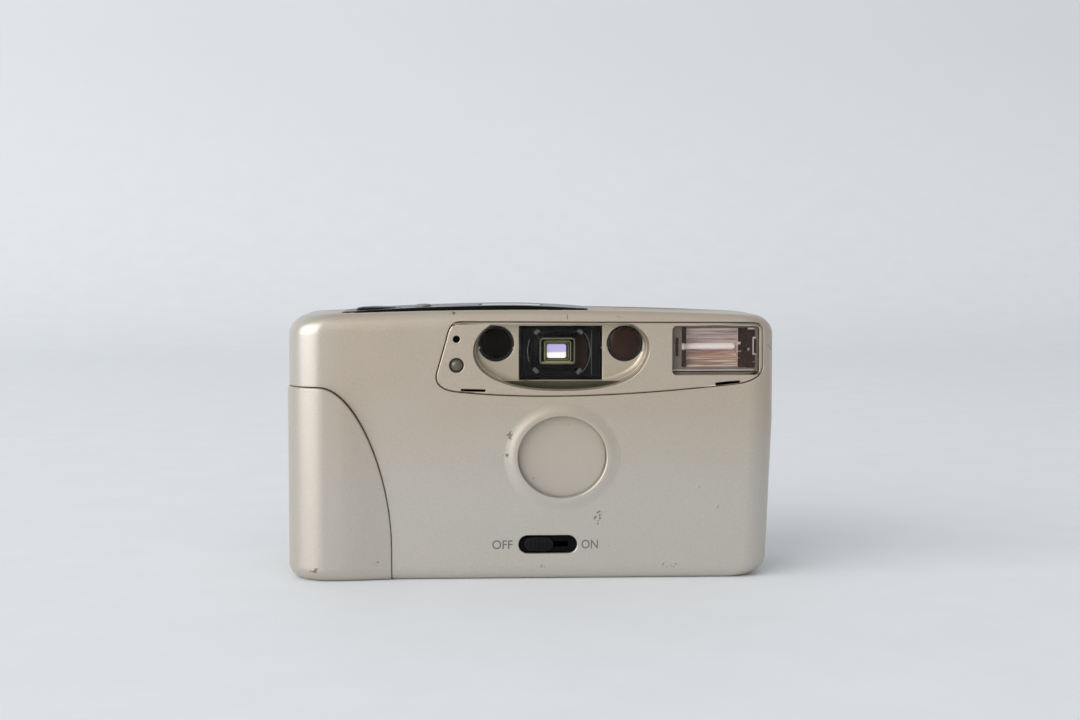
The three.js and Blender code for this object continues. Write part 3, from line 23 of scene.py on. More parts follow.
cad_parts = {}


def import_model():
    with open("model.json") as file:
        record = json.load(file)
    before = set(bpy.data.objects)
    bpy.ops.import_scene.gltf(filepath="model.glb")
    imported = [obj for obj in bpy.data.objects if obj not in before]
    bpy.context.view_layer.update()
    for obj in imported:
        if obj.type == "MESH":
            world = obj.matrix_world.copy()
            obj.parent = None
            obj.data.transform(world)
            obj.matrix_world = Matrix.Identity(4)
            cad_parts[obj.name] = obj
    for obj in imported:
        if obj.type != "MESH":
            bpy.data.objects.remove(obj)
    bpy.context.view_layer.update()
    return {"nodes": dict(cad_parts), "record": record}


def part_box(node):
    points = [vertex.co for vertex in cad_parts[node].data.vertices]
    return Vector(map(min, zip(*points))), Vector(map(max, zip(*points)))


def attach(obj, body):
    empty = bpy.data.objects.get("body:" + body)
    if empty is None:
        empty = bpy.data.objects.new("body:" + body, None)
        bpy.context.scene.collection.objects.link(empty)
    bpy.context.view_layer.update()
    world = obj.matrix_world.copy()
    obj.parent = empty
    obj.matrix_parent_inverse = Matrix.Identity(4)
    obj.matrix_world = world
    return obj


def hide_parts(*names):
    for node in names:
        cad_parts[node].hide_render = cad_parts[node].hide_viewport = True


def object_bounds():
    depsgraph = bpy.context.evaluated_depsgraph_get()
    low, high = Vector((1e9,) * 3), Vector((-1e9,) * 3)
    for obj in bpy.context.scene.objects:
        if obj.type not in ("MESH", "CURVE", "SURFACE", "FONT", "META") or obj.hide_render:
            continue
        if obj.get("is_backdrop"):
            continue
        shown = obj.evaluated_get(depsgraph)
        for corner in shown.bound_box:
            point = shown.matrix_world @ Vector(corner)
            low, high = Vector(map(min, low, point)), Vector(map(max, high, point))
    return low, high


LOG = logging.getLogger("compact_camera")
MM = 0.001
# A place past the camera on every side, and how close two points are one, in millimetres.
FAR = 80.0
SAME = 1e-5
Number = Union[int, float]
Point = tuple[float, float]
Colour = tuple[float, float, float, float]


# ---------------------------------------------------------------- shader tools


class Value:
    """A shader socket that takes part in Python expressions."""

    def __init__(self, shader: Shader, socket: bpy.types.NodeSocket) -> None:
        """Wraps an output socket of a shader."""
        self.shader = shader
        self.socket = socket

    def __add__(self, other: Term) -> Value:
        """Adds a value or a number."""
        return self.shader.maths("ADD", self, other)

    def __mul__(self, other: Term) -> Value:
        """Multiplies by a value or a number."""
        return self.shader.maths("MULTIPLY", self, other)

    def __sub__(self, other: Term) -> Value:
        """Takes away a value or a number."""
        return self.shader.maths("SUBTRACT", self, other)

    def __rsub__(self, other: Term) -> Value:
        """Is taken away from a number."""
        return self.shader.maths("SUBTRACT", other, self)

    __radd__ = __add__
    __rmul__ = __mul__

    def ramp(self, low: float, high: float) -> Value:
        """Ramps smoothly from 0 at low to 1 at high, or down where high is the lower.

        Args:
            low: The value that gives 0.
            high: The value that gives 1.

        Returns:
            The ramp, between 0 and 1.
        """
        inputs = {"Value": self, "From Min": min(low, high), "From Max": max(low, high)}
        made = self.shader.value(
            "MapRange", "Result", inputs, interpolation_type="SMOOTHSTEP", clamp=True
        )
        return 1 - made if high < low else made


Term = Union[Value, Number]


class Shader:
    """A material that is built up from expressions."""

    def __init__(self, name: str) -> None:
        """Makes an empty material of a name.

        Args:
            name: The material's name.
        """
        self.material = bpy.data.materials.new(name)
        self.material.use_nodes = True
        self.tree = self.material.node_tree
        self.tree.nodes.clear()
        self.place = self.value("TexCoord", "Object", {})

    def node(self, kind: str, inputs: dict[Any, Any], **settings: Any) -> bpy.types.Node:
        """Adds a node.

        Args:
            kind: The node's type, as it goes on after ShaderNode.
            inputs: What each socket is set to or linked from, by name or number.
            **settings: The node's attributes.

        Returns:
            The node.
        """
        made = self.tree.nodes.new(f"ShaderNode{kind}")
        for name, setting in settings.items():
            setattr(made, name, setting)
        for name, given in inputs.items():
            if isinstance(given, Value):
                self.tree.links.new(given.socket, made.inputs[name])
            else:
                made.inputs[name].default_value = given
        return made

    def value(self, kind: str, output: str | int, inputs: dict[Any, Any], **settings: Any) -> Value:
        """Adds a node as node() does, and gives one of its outputs, by name or number."""
        return Value(self, self.node(kind, inputs, **settings).outputs[output])

    def maths(self, operation: str, *terms: Term) -> Value:
        """Works out one Math node from its operation and its values or numbers."""
        return self.value("Math", 0, dict(enumerate(terms)), operation=operation)

    def mix(self, factor: Term, first: Any, second: Any) -> Value:
        """Mixes two colours: a factor of 0 gives the first and 1 the second."""
        return self.value("Mix", 2, {0: factor, 6: first, 7: second}, data_type="RGBA")

    def noise(
        self, size: float, detail: float = 2.0, stretch: Sequence[float] = (1, 1, 1)
    ) -> Value:
        """Makes noise whose features are about as wide as a size.

        Args:
            size: The width of a feature, in metres.
            detail: How many finer layers the noise has.
            stretch: How much finer the noise is along each axis.

        Returns:
            The noise, round about 0.5.
        """
        mapped = self.value("Mapping", 0, {"Vector": self.place, "Scale": tuple(stretch)})
        inputs = {"Vector": mapped, "Scale": 1 / size, "Detail": detail}
        return self.value("TexNoise", 0, inputs, noise_dimensions="3D")

    def distance(self, centre: Sequence[float], squash: Sequence[float]) -> Value:
        """Measures how far a point is from a centre.

        Args:
            centre: The centre, in metres.
            squash: A factor for the distance along each axis.

        Returns:
            The distance, in metres.
        """
        inputs: dict[int, Any] = {0: self.place, 1: tuple(centre)}
        inputs = {0: self.value("VectorMath", 0, inputs, operation="SUBTRACT"), 1: tuple(squash)}
        inputs = {0: self.value("VectorMath", 0, inputs, operation="MULTIPLY")}
        return self.value("VectorMath", "Value", inputs, operation="LENGTH")

    def axis(self, name: str) -> Value:
        """Gives one coordinate of the point, such as "X"."""
        return self.value("SeparateXYZ", name, {0: self.place})

    def bump(self, height: Value, depth: float, strength: float) -> Value:
        """Turns a height between 0 and 1 into a normal.

        Args:
            height: The height.
            depth: What a height of 1 is, in metres.
            strength: How much of the bump shows.

        Returns:
            The normal.
        """
        return self.value("Bump", 0, {"Height": height, "Distance": depth, "Strength": strength})

    def surface(self, **inputs: Any) -> Material:
        """Ends the material in a principled shader, _ standing for a space in a name."""
        named = {name.replace("_", " "): given for name, given in inputs.items()}
        return self.output(self.value("BsdfPrincipled", 0, named))

    def output(self, shader: Value) -> Material:
        """Ends the material in any shader."""
        self.node("OutputMaterial", {"Surface": shader})
        return self.material


def rgb(red: float, green: float, blue: float) -> Colour:
    """Gives the linear colour of 8-bit red, green and blue.

    Args:
        red: The red, from 0 to 255.
        green: The green.
        blue: The blue.

    Returns:
        The colour.
    """
    shares = [part / 255 for part in (red, green, blue)]
    curve = [s / 12.92 if s <= 0.04045 else ((s + 0.055) / 1.055) ** 2.4 for s in shares]
    return (curve[0], curve[1], curve[2], 1.0)


def shade(colour: Colour, factor: float) -> Colour:
    """Makes a colour darker or lighter by a factor, with no channel over 1."""
    red, green, blue = (min(part * factor, 1.0) for part in colour[:3])
    return (red, green, blue, 1.0)


# ---------------------------------------------------------------- finishes


@dataclass(frozen=True)
class Scuff:
    """A worn patch of paint, in millimetres, and how dense its marks are."""

    x: float
    z: float
    reach: float
    density: float = 0.5
    flat: float = 1.0


@dataclass(frozen=True)
class SatinPaint:
    """Metallic paint with a fine flake, a painted reflection that turns it warmer and darker higher
    up, and small scuffs.
    """

    name: str
    colour: Colour
    # Painted reflection: the warmer, darker colour the paint takes higher up, standing in for the
    # room mirrored there.
    painted_reflection: Colour = rgb(187, 174, 157)
    painted_reflection_up: Point = (17.0, 50.0)
    painted_reflection_across: Point = (-57.0, -44.0)
    metallic: float = 0.6
    roughness: float = 0.36
    flake: float = 0.16
    scuffs: tuple[Scuff, ...] = ()
    painted_wall_shade: tuple[float, float] | None = None

    def material(self) -> Material:
        """Builds the paint.

        Returns:
            The material.
        """
        s = Shader(self.name)
        flake = s.noise(self.flake * MM, 1.0)
        cloud = s.noise(17 * MM, 3.0)
        handled = s.noise(5 * MM, 4.0)
        flecks = [
            s.mix(flake.ramp(0.3, 0.7), shade(tone, 0.9), shade(tone, 1.06))
            for tone in (self.colour, self.painted_reflection)
        ]
        # Painted reflection: higher up, and away from the far left edge, the paint turns warmer and
        # darker.
        (low, high), (left, right) = self.painted_reflection_up, self.painted_reflection_across
        painted_reflection_mask = s.axis("Z").ramp(low * MM, high * MM) * s.axis("X").ramp(left * MM, right * MM)
        colour = s.mix(painted_reflection_mask, *flecks)
        colour = s.mix(cloud.ramp(0.45, 0.75) * 0.3, colour, shade(self.colour, 0.94))
        if self.scuffs:
            colour = s.mix(self._worn(s) * 0.7, colour, (0.07, 0.053, 0.038, 1.0))
        # Painted shade and reflection: deep in the dish, its lower wall is painted dark olive where
        # it lies in shade and mirrors the black finder block.
        if self.painted_wall_shade:
            deep, low = (place * MM for place in self.painted_wall_shade)
            wall = s.axis("Y").ramp(deep, deep + 0.15 * MM) * s.axis("Z").ramp(low, low - 0.25 * MM)
            colour = s.mix(wall, colour, rgb(72, 68, 52))
        height = flake * 0.7 + s.noise(0.6 * MM) * 0.3
        return s.surface(
            Base_Color=colour,
            Metallic=self.metallic,
            Roughness=handled * 0.08 + (self.roughness - 0.04),
            Coat_Weight=0.22,
            Coat_Roughness=0.3,
            Normal=s.bump(height, 0.006 * MM, 0.35),
        )

    def _worn(self, s: Shader) -> Value:
        """Masks the scuffs: specks that crowd together round each worn place.

        Args:
            s: The shader that the mask is built in.

        Returns:
            1 where the paint is worn, 0 elsewhere.
        """
        specks = s.noise(0.75 * MM, 3.0)
        total: Value | None = None
        for scuff in self.scuffs:
            centre = (scuff.x * MM, -0.017, scuff.z * MM)
            near = s.distance(centre, (1, 0.2, scuff.flat))
            near = near.ramp(scuff.reach * MM, 0.3 * scuff.reach * MM)
            edge = 0.67 - 0.12 * scuff.density
            mark = (specks * (near * 0.35 + 0.65)).ramp(edge - 0.03, edge)
            mark = mark * near.ramp(0.0, 0.4)
            total = mark if total is None else s.maths("MAXIMUM", total, mark)
        return total


@dataclass(frozen=True)
class MouldedPlastic:
    """Moulded plastic: a spark-eroded grain, or hardly any where it is polished."""

    name: str
    colour: Colour
    roughness: float = 0.5
    grain: float = 0.3
    depth: float = 0.02
    coat: float = 0.0
    sheen: float = 0.5

    def material(self) -> Material:
        """Builds the plastic.

        Returns:
            The material.
        """
        s = Shader(self.name)
        grain = s.noise(self.grain * MM)
        wear = s.noise(9 * MM, 4.0)
        dust = s.noise(0.5 * MM, 3.0)
        colour = s.mix(wear.ramp(0.4, 0.8) * 0.6, self.colour, shade(self.colour, 1.35))
        colour = s.mix(dust.ramp(0.68, 0.76) * 0.15, colour, (0.35, 0.33, 0.3, 1.0))
        return s.surface(
            Base_Color=colour,
            Roughness=wear * 0.12 + (self.roughness - 0.05),
            Specular_IOR_Level=self.sheen,
            Coat_Weight=self.coat,
            Coat_Roughness=0.05,
            Normal=s.bump(grain, self.depth * MM, 0.5),
        )


@dataclass(frozen=True)
class ClearPlastic:
    """A clear moulding that shows what lies behind it without bending it."""

    name: str
    tint: Colour = (0.98, 0.985, 0.975, 1.0)
    haze: float = 0.008
    gleam: float = 0.5
    milk: Colour = (0.8, 0.8, 0.76, 1.0)

    def material(self) -> Material:
        """Builds the plastic from a see-through share and a glossy one that grows at its edges.

        Returns:
            The material.
        """
        s = Shader(self.name)
        smear = s.noise(6 * MM, 4.0)
        through = s.value("BsdfTransparent", 0, {"Color": self.tint})
        milky = {"Base Color": self.milk, "Roughness": smear * 0.08 + 0.03, "Metallic": 0.75}
        gloss = s.value("BsdfPrincipled", 0, milky)
        turned_away = s.value("LayerWeight", "Facing", {"Blend": 0.5})
        square = turned_away * turned_away
        share = square * square * self.gleam + smear * self.haze
        return s.output(s.value("MixShader", 0, {0: share, 1: through, 2: gloss}))


@dataclass(frozen=True)
class CoatedGlass:
    """Dark optical glass under a tinted coating, with a little dust."""

    name: str
    colour: Colour
    roughness: float = 0.05
    sheen: float = 0.12

    def material(self) -> Material:
        """Builds the glass.

        Returns:
            The material.
        """
        s = Shader(self.name)
        dust = s.noise(0.6 * MM, 3.0)
        smear = s.noise(4 * MM, 3.0)
        colour = s.mix(smear.ramp(0.4, 0.7), self.colour, shade(self.colour, 1.5))
        colour = s.mix(dust.ramp(0.68, 0.76) * 0.2, colour, (0.12, 0.1, 0.08, 1.0))
        return s.surface(
            Base_Color=colour,
            Roughness=smear * 0.1 + self.roughness,
            Specular_IOR_Level=self.sheen,
        )


@dataclass(frozen=True)
class BareMetal:
    """Turned, drawn or plated metal with a fine lay along one direction."""

    name: str
    colour: Colour
    roughness: float = 0.3
    lay: tuple[float, float, float] = (1.0, 1.0, 6.0)

    def material(self) -> Material:
        """Builds the metal.

        Returns:
            The material.
        """
        s = Shader(self.name)
        lines = s.noise(0.4 * MM, 3.0, self.lay)
        tarnish = s.noise(6 * MM, 4.0)
        return s.surface(
            Base_Color=s.mix(tarnish.ramp(0.4, 0.8), self.colour, shade(self.colour, 0.78)),
            Metallic=1.0,
            Roughness=lines * 0.14 + (self.roughness - 0.06),
            Normal=s.bump(lines, 0.006 * MM, 0.4),
        )


@dataclass(frozen=True)
class FoilMirror:
    """A foil trough with painted reflections: dark bands along X, bright painted glints along
    crease lines, and a warmer, darker painted reflection low down.
    """

    name: str
    middle: float

    def material(self) -> Material:
        """Builds the foil.

        Returns:
            The material.
        """
        s = Shader(self.name)
        striped_reflections = s.noise(9 * MM, 2.0, (1, 12, 22))
        crease_glints = s.noise(14 * MM, 1.0, (1, 16, 30))
        # Painted reflections: the foil is warmer and darker low down, with dark bands and bright
        # glints along X.
        height = s.axis("Z")
        low = height.ramp((self.middle - 0.4) * MM, (self.middle - 1.6) * MM)
        lowest = height.ramp((self.middle - 2.2) * MM, (self.middle - 4.6) * MM)
        colour = s.mix(low, rgb(216, 204, 202), rgb(200, 168, 152))
        colour = s.mix(lowest * 0.7, colour, rgb(160, 136, 112))
        colour = s.mix(striped_reflections.ramp(0.5, 0.62) * 0.5, colour, rgb(120, 94, 84))
        colour = s.mix(crease_glints.ramp(0.57, 0.61) * 0.7, colour, rgb(242, 234, 230))
        return s.surface(Base_Color=colour, Metallic=0.4, Roughness=striped_reflections * 0.12 + 0.24)


@dataclass(frozen=True)
class Board:
    """A circuit board: green mask over copper tracks, with pale pads."""

    name: str

    def material(self) -> Material:
        """Builds the board.

        Returns:
            The material.
        """
        s = Shader(self.name)
        tracks = s.noise(2.2 * MM, 0.0, (1.0, 2.4, 1.0)).ramp(0.49, 0.52)
        pads = s.noise(1.3 * MM, 0.0).ramp(0.66, 0.69)
        green = s.mix(tracks, (0.012, 0.075, 0.03, 1.0), (0.03, 0.17, 0.06, 1.0))
        return s.surface(
            Base_Color=s.mix(pads, green, (0.62, 0.6, 0.52, 1.0)),
            Metallic=pads * 0.8,
            Roughness=tracks * 0.12 + 0.3,
        )


@dataclass(frozen=True)
class CellWrap:
    """A battery's printed sleeve: a dark body, a pale band and a thin line round it."""

    name: str
    band: float
    line: float

    def material(self) -> Material:
        """Builds the sleeve from bands up its height.

        Returns:
            The material.
        """
        s = Shader(self.name)
        height = s.axis("Z")
        rub = s.noise(3 * MM, 4.0)
        blue, gold, white = (0.02, 0.035, 0.11, 1.0), (0.55, 0.4, 0.16, 1.0), (0.6, 0.6, 0.6, 1.0)
        colour = s.mix(height.ramp(self.band * MM, (self.band + 0.1) * MM), blue, gold)
        line = s.maths("ABSOLUTE", height - self.line * MM).ramp(0.5 * MM, 0.4 * MM)
        colour = s.mix(line, colour, white)
        return s.surface(
            Base_Color=s.mix(rub.ramp(0.5, 0.9) * 0.4, colour, (0.3, 0.3, 0.3, 1.0)),
            Metallic=0.35,
            Roughness=rub * 0.14 + 0.2,
        )


@dataclass(frozen=True)
class Glow:
    """A pane that glows with painted light in place of light from behind, one colour over a height
    and another under it.
    """

    name: str
    upper: Colour
    lower: Colour
    middle: float
    strength: float

    def material(self) -> Material:
        """Builds the pane.

        Returns:
            The material.
        """
        s = Shader(self.name)
        share = s.axis("Z").ramp((self.middle - 0.3) * MM, (self.middle + 0.3) * MM)
        mottle = s.noise(1.2 * MM)
        colour = s.mix(share, self.lower, self.upper)
        colour = s.mix(mottle.ramp(0.5, 0.8) * 0.3, colour, shade(self.upper, 0.8))
        return s.surface(
            Base_Color=colour,
            Roughness=0.4,
            Emission_Color=colour,
            Emission_Strength=self.strength,
        )


class Look(Enum):
    """The finishes of the record's material slots."""

    SILVER = "silver_paint"
    GRIP = "grip_paint"
    BLACK = "black_plastic"
    MATT = "matt_black"
    GLOSS = "gloss_black"
    GREY = "grey_plastic"
    DISPLAY = "display"
    CLEAR = "clear_plastic"
    DARK_GLASS = "dark_glass"
    RED_GLASS = "red_glass"
    LENS = "lens_glass"
    REFLECTOR = "reflector"
    BLACK_METAL = "black_metal"
    STEEL = "steel"
    BRASS = "brass"
    NYLON = "nylon"
    WRAP = "battery_wrap"
    SLEEVE = "capacitor_sleeve"
    BOARD = "circuit_board"


SCUFFS = (
    Scuff(-5.2, 35.3, 1.8, 0.85, 0.6),
    Scuff(-6.2, 30.5, 2.0, 0.8, 0.6),
    Scuff(-18.0, 43.0, 0.9, 0.5, 0.5),
    Scuff(-11.9, 22.9, 1.3, 0.5),
    Scuff(16.8, 15.3, 3.2, 0.75, 1.0),
    Scuff(18.6, 8.0, 1.2, 0.9),
    Scuff(41.3, 22.9, 1.8, 0.6, 2.6),
    Scuff(46.6, 16.8, 2.0, 0.3, 0.8),
    Scuff(33.5, 3.4, 4.5, 0.85, 3.6),
    Scuff(2.5, 3.4, 2.6, 0.4, 3.0),
    Scuff(-53.2, 3.0, 2.4, 1.0, 1.6),
    Scuff(-38.0, 4.4, 1.6, 0.5),
    Scuff(59.4, 57.5, 1.4, 0.7, 0.5),
    Scuff(-18.9, 65.6, 0.55, 2.6),
    Scuff(21.5, 64.6, 1.1, 0.7, 2.0),
)


BLACK = (0.012, 0.012, 0.013, 1.0)
POLISHED = (0.006, 0.006, 0.0065, 1.0)
RECIPES: dict[Look, Any] = {
    Look.SILVER: SatinPaint("silver_paint", rgb(192, 187, 177), scuffs=SCUFFS),
    Look.GRIP: SatinPaint("grip_paint", rgb(190, 183, 172), scuffs=SCUFFS),
    Look.BLACK: MouldedPlastic("black_plastic", BLACK, 0.42, sheen=0.35),
    Look.MATT: MouldedPlastic("matt_black", (0.007, 0.007, 0.0075, 1.0), 0.75),
    Look.GLOSS: MouldedPlastic("gloss_black", POLISHED, 0.2, 1.5, 0.003, sheen=0.05),
    Look.GREY: MouldedPlastic("grey_plastic", (0.22, 0.22, 0.22, 1.0), 0.4),
    Look.DISPLAY: MouldedPlastic("display", (0.13, 0.15, 0.11, 1.0), 0.18, 2, 0.002, 0.8),
    Look.CLEAR: ClearPlastic("clear_plastic"),
    Look.DARK_GLASS: CoatedGlass("dark_glass", (0.0028, 0.0018, 0.0014, 1.0), sheen=0.05),
    Look.RED_GLASS: CoatedGlass("red_glass", (0.024, 0.0105, 0.007, 1.0)),
    Look.LENS: CoatedGlass("lens_glass", (0.02, 0.012, 0.03, 1.0)),
    Look.REFLECTOR: BareMetal("reflector", (0.82, 0.78, 0.75, 1.0), 0.2, (1, 6, 6)),
    Look.BLACK_METAL: MouldedPlastic("black_metal", BLACK, 0.34, 0.5, 0.004),
    Look.STEEL: BareMetal("steel", (0.55, 0.55, 0.56, 1.0)),
    Look.BRASS: BareMetal("brass", (0.62, 0.46, 0.2, 1.0)),
    Look.NYLON: MouldedPlastic("nylon", (0.72, 0.68, 0.58, 1.0), 0.42),
    Look.WRAP: CellWrap("battery_wrap", 27.0, 12.0),
    Look.SLEEVE: MouldedPlastic("capacitor_sleeve", POLISHED, 0.24, 2, 0.004),
    Look.BOARD: Board("circuit_board"),
}


class Finishes:
    """The materials, each made when it is first asked for."""

    def __init__(self) -> None:
        """Starts with none made."""
        self._made: dict[Any, Material] = {}

    def __getitem__(self, wanted: Any) -> Material:
        """Gives the material of a look or of a finish.

        Args:
            wanted: The look, or the finish itself.

        Returns:
            The material.
        """
        finish = RECIPES[wanted] if isinstance(wanted, Look) else wanted
        if finish not in self._made:
            self._made[finish] = finish.material()
        return self._made[finish]


# ---------------------------------------------------------------- outlines


class Outline:
    """A closed outline of straight runs and curves, walked counter-clockwise."""

    def __init__(self, x: float, y: float) -> None:
        """Starts the outline at a point."""
        self.points: list[Point] = [(x, y)]

    def line(self, x: float, y: float) -> Outline:
        """Adds a straight run to a point."""
        self.points.append((x, y))
        return self

    def curve(self, first: Point, second: Point, end: Point, steps: int = 14) -> Outline:
        """Adds a Bézier curve.

        Args:
            first: The handle that leaves the last point.
            second: The handle that reaches the end.
            end: The curve's last point.
            steps: How many points it has.

        Returns:
            The outline itself.
        """
        knots = [Vector((*place, 0)) for place in (self.points[-1], first, second, end)]
        drawn = interpolate_bezier(*knots, steps + 1)
        self.points.extend((place.x, place.y) for place in drawn[1:])
        return self


def rounded(
    x0: float, x1: float, y0: float, y1: float, radius: float, steps: int = 8
) -> list[Point]:
    """Draws a rectangle with round corners.

    Args:
        x0: Its lowest first coordinate.
        x1: Its highest first coordinate.
        y0: Its lowest second coordinate.
        y1: Its highest second coordinate.
        radius: The corners' radius.
        steps: The facets in each corner.

    Returns:
        The outline's points.
    """
    points = []
    for x, y, start in ((x1, y0, -90), (x1, y1, 0), (x0, y1, 90), (x0, y0, 180)):
        cx = x + (-radius if x == x1 else radius)
        cy = y + (-radius if y == y1 else radius)
        for step in range(steps + 1):
            angle = radians(start + 90 * step / steps)
            points.append((cx + radius * cos(angle), cy + radius * sin(angle)))
    return points


def grown(points: Sequence[Point], distance: float) -> list[Point]:
    """Moves a counter-clockwise outline outwards, or inwards where the distance is negative.

    Args:
        points: The outline.
        distance: How far it moves.

    Returns:
        The moved outline.
    """
    moved = []
    for index, place in enumerate(points):
        here = Vector(place)
        before = (here - Vector(points[index - 1])).normalized()
        after = (Vector(points[(index + 1) % len(points)]) - here).normalized()
        side = Vector((before.y + after.y, -before.x - after.x)).normalized()
        mitre = side.x * before.y - side.y * before.x
        moved.append(tuple(here + side * distance / max(mitre, 0.4)))
    return moved


# ---------------------------------------------------------------- solids


class Along(Enum):
    """The direction that an outline is carried along."""

    X = "x"
    Y = "y"
    Z = "z"

    def place(self, first: float, second: float, depth: float) -> Vector:
        """Places an outline's point at a depth along the direction.

        Args:
            first: The point's first coordinate.
            second: Its second one.
            depth: How far along the direction it lies.

        Returns:
            The point in space.
        """
        if self is Along.X:
            return Vector((depth, first, second))
        if self is Along.Y:
            return Vector((first, depth, second))
        return Vector((first, second, depth))


def to_object(bm: BMesh) -> Object:
    """Turns a bmesh into an object at the origin, its faces pointing outwards.

    Args:
        bm: The mesh, which is freed.

    Returns:
        The object.
    """
    bmesh.ops.remove_doubles(bm, verts=bm.verts, dist=SAME)
    bmesh.ops.recalc_face_normals(bm, faces=bm.faces)
    mesh = bpy.data.meshes.new("solid")
    bm.to_mesh(mesh)
    bm.free()
    made = bpy.data.objects.new("solid", mesh)
    bpy.context.scene.collection.objects.link(made)
    return made


def carried_face(bm: BMesh, face: BMFace, fit: Matrix) -> BMFace:
    """Extrudes a face and moves the new one by a matrix.

    Args:
        bm: The mesh.
        face: The face that is carried on.
        fit: The matrix.

    Returns:
        The new end face.
    """
    joined = any(len(edge.link_faces) > 1 for edge in face.edges)
    made = bmesh.ops.extrude_face_region(bm, geom=[face])
    end = next(part for part in made["geom"] if isinstance(part, BMFace))
    if joined:
        bmesh.ops.delete(bm, geom=[face], context="FACES_ONLY")
    bmesh.ops.transform(bm, matrix=fit, verts=list(end.verts))
    return end


def lofted(bm: BMesh, face: BMFace, fits: Sequence[Matrix]) -> None:
    """Carries a face through some places.

    Args:
        bm: The mesh.
        face: The face.
        fits: The matrix that takes the face to each place from the one before.
    """
    bmesh.ops.transform(bm, matrix=fits[0], verts=list(face.verts))
    for fit in fits[1:]:
        face = carried_face(bm, face, fit)


def stack(
    points: Sequence[Point],
    levels: Sequence[tuple[float, float, float]],
    along: Along = Along.Y,
    pivot: Point = (0.0, 0.0),
) -> Object:
    """Carries an outline through levels that are scaled about a pivot.

    Args:
        points: The outline.
        levels: Each level's depth and its two factors.
        along: The direction.
        pivot: The point that the factors leave in place.

    Returns:
        The closed solid.
    """
    bm = bmesh.new()
    face = bm.faces.new([bm.verts.new(along.place(x, y, 0)) for x, y in points])
    fits, depth, wide, tall = [], 0.0, 1.0, 1.0
    for level in levels:
        back = Matrix.Translation(-along.place(*pivot, depth))
        scale = Matrix.Diagonal((*along.place(level[1] / wide, level[2] / tall, 1), 1))
        fits.append(Matrix.Translation(along.place(*pivot, level[0])) @ scale @ back)
        depth, wide, tall = level
    lofted(bm, face, fits)
    return to_object(bm)


def prism(points: Sequence[Point], start: float, end: float, along: Along = Along.Y) -> Object:
    """Carries an outline straight from one depth to another."""
    return stack(points, [(start, 1, 1), (end, 1, 1)], along)


def slab(
    x: Point, y: Point, depth: Point, radius: float, steps: int = 8, along: Along = Along.Y
) -> Object:
    """Makes a plate with round corners.

    Args:
        x: The lowest and the highest first coordinate of its outline.
        y: The lowest and the highest second one.
        depth: Where it starts and ends.
        radius: The corners' radius.
        steps: The facets in each corner.
        along: The direction of its depth.

    Returns:
        The closed solid.
    """
    return prism(rounded(*x, *y, radius, steps), *depth, along)


def pillow(
    points: Sequence[Point], front: float, back: float, radius: float, steps: int = 4
) -> Object:
    """Makes a plate along Y whose front rim is rounded.

    Args:
        points: The outline at the back.
        front: Where the plate starts.
        back: Where it ends.
        radius: The rounding's radius.
        steps: The facets of the rounding.

    Returns:
        The closed solid.
    """
    bm = bmesh.new()
    rim = bm.faces.new([bm.verts.new((x, back, z)) for x, z in points])
    carried = carried_face(bm, rim, Matrix.Translation((0, front - back, 0)))
    edges = list(carried.edges)
    bmesh.ops.bevel(
        bm, geom=edges, offset=radius, offset_type="OFFSET", segments=steps, profile=0.5,
        affect="EDGES", clamp_overlap=True, material=-1,
    )
    return to_object(bm)


def block(low: Sequence[float], high: Sequence[float]) -> Object:
    """Makes a box between two corners.

    Args:
        low: The lowest corner.
        high: The highest corner.

    Returns:
        The closed solid.
    """
    bm = bmesh.new()
    bmesh.ops.create_cube(bm, size=1)
    bmesh.ops.scale(bm, verts=bm.verts, vec=Vector(high) - Vector(low))
    bmesh.ops.translate(bm, verts=bm.verts, vec=(Vector(high) + Vector(low)) / 2)
    return to_object(bm)


def turned(
    profile: Sequence[Point],
    centre: Sequence[float] = (0, 0, 0),
    along: Along = Along.Y,
    steps: int = 64,
    squash: float = 1.0,
) -> Object:
    """Spins a profile round an axis.

    Args:
        profile: Points as a radius and a place along the axis. It starts and ends on the
            axis, or comes back to its first point.
        centre: A point on the axis, which the places are counted from.
        along: The axis.
        steps: The number of flats.
        squash: A factor for the height of a form turned about Y.

    Returns:
        The closed solid.
    """
    bm = bmesh.new()
    rim = [bm.verts.new((radius, 0, depth)) for radius, depth in profile]
    edges = [bm.edges.new(pair) for pair in zip(rim, rim[1:])]
    bmesh.ops.spin(
        bm, geom=rim + edges, cent=(0, 0, 0), axis=(0, 0, 1), angle=2 * pi,
        steps=steps, use_merge=True, use_duplicate=False,
    )
    bmesh.ops.remove_doubles(bm, verts=bm.verts, dist=SAME)
    turns = {
        Along.X: Matrix.Rotation(pi / 2, 4, "Y"),
        Along.Y: Matrix.Rotation(-pi / 2, 4, "X"),
        Along.Z: Matrix.Identity(4),
    }
    fit = Matrix.Translation(centre) @ Matrix.Diagonal((1, 1, squash, 1)) @ turns[along]
    bmesh.ops.transform(bm, matrix=fit, verts=bm.verts)
    return to_object(bm)


def rod(
    radius: float, centre: Sequence[float], start: float, end: float,
    along: Along = Along.Y, steps: int = 48,
) -> Object:
    """Makes a cylinder between two places along an axis, counted from the centre."""
    return turned([(0, start), (radius, start), (radius, end), (0, end)], centre, along, steps)


def moved(piece: Object, place: Sequence[float], tilt: float) -> None:
    """Turns a piece about Y by some degrees, then moves it."""
    turn = Matrix.Rotation(radians(tilt), 4, "Y")
    piece.data.transform(Matrix.Translation(place) @ turn)


class Join(Enum):
    """How two solids are put together."""

    ADD = "UNION"
    CUT = "DIFFERENCE"
    KEEP = "INTERSECT"


def settled(piece: Object) -> Object:
    """Turns a piece's modifiers into its mesh.

    Args:
        piece: The piece.

    Returns:
        The piece.
    """
    bpy.context.view_layer.update()
    graph = bpy.context.evaluated_depsgraph_get()
    mesh = bpy.data.meshes.new_from_object(piece.evaluated_get(graph))
    piece.modifiers.clear()
    old, piece.data = piece.data, mesh
    bpy.data.meshes.remove(old)
    return piece


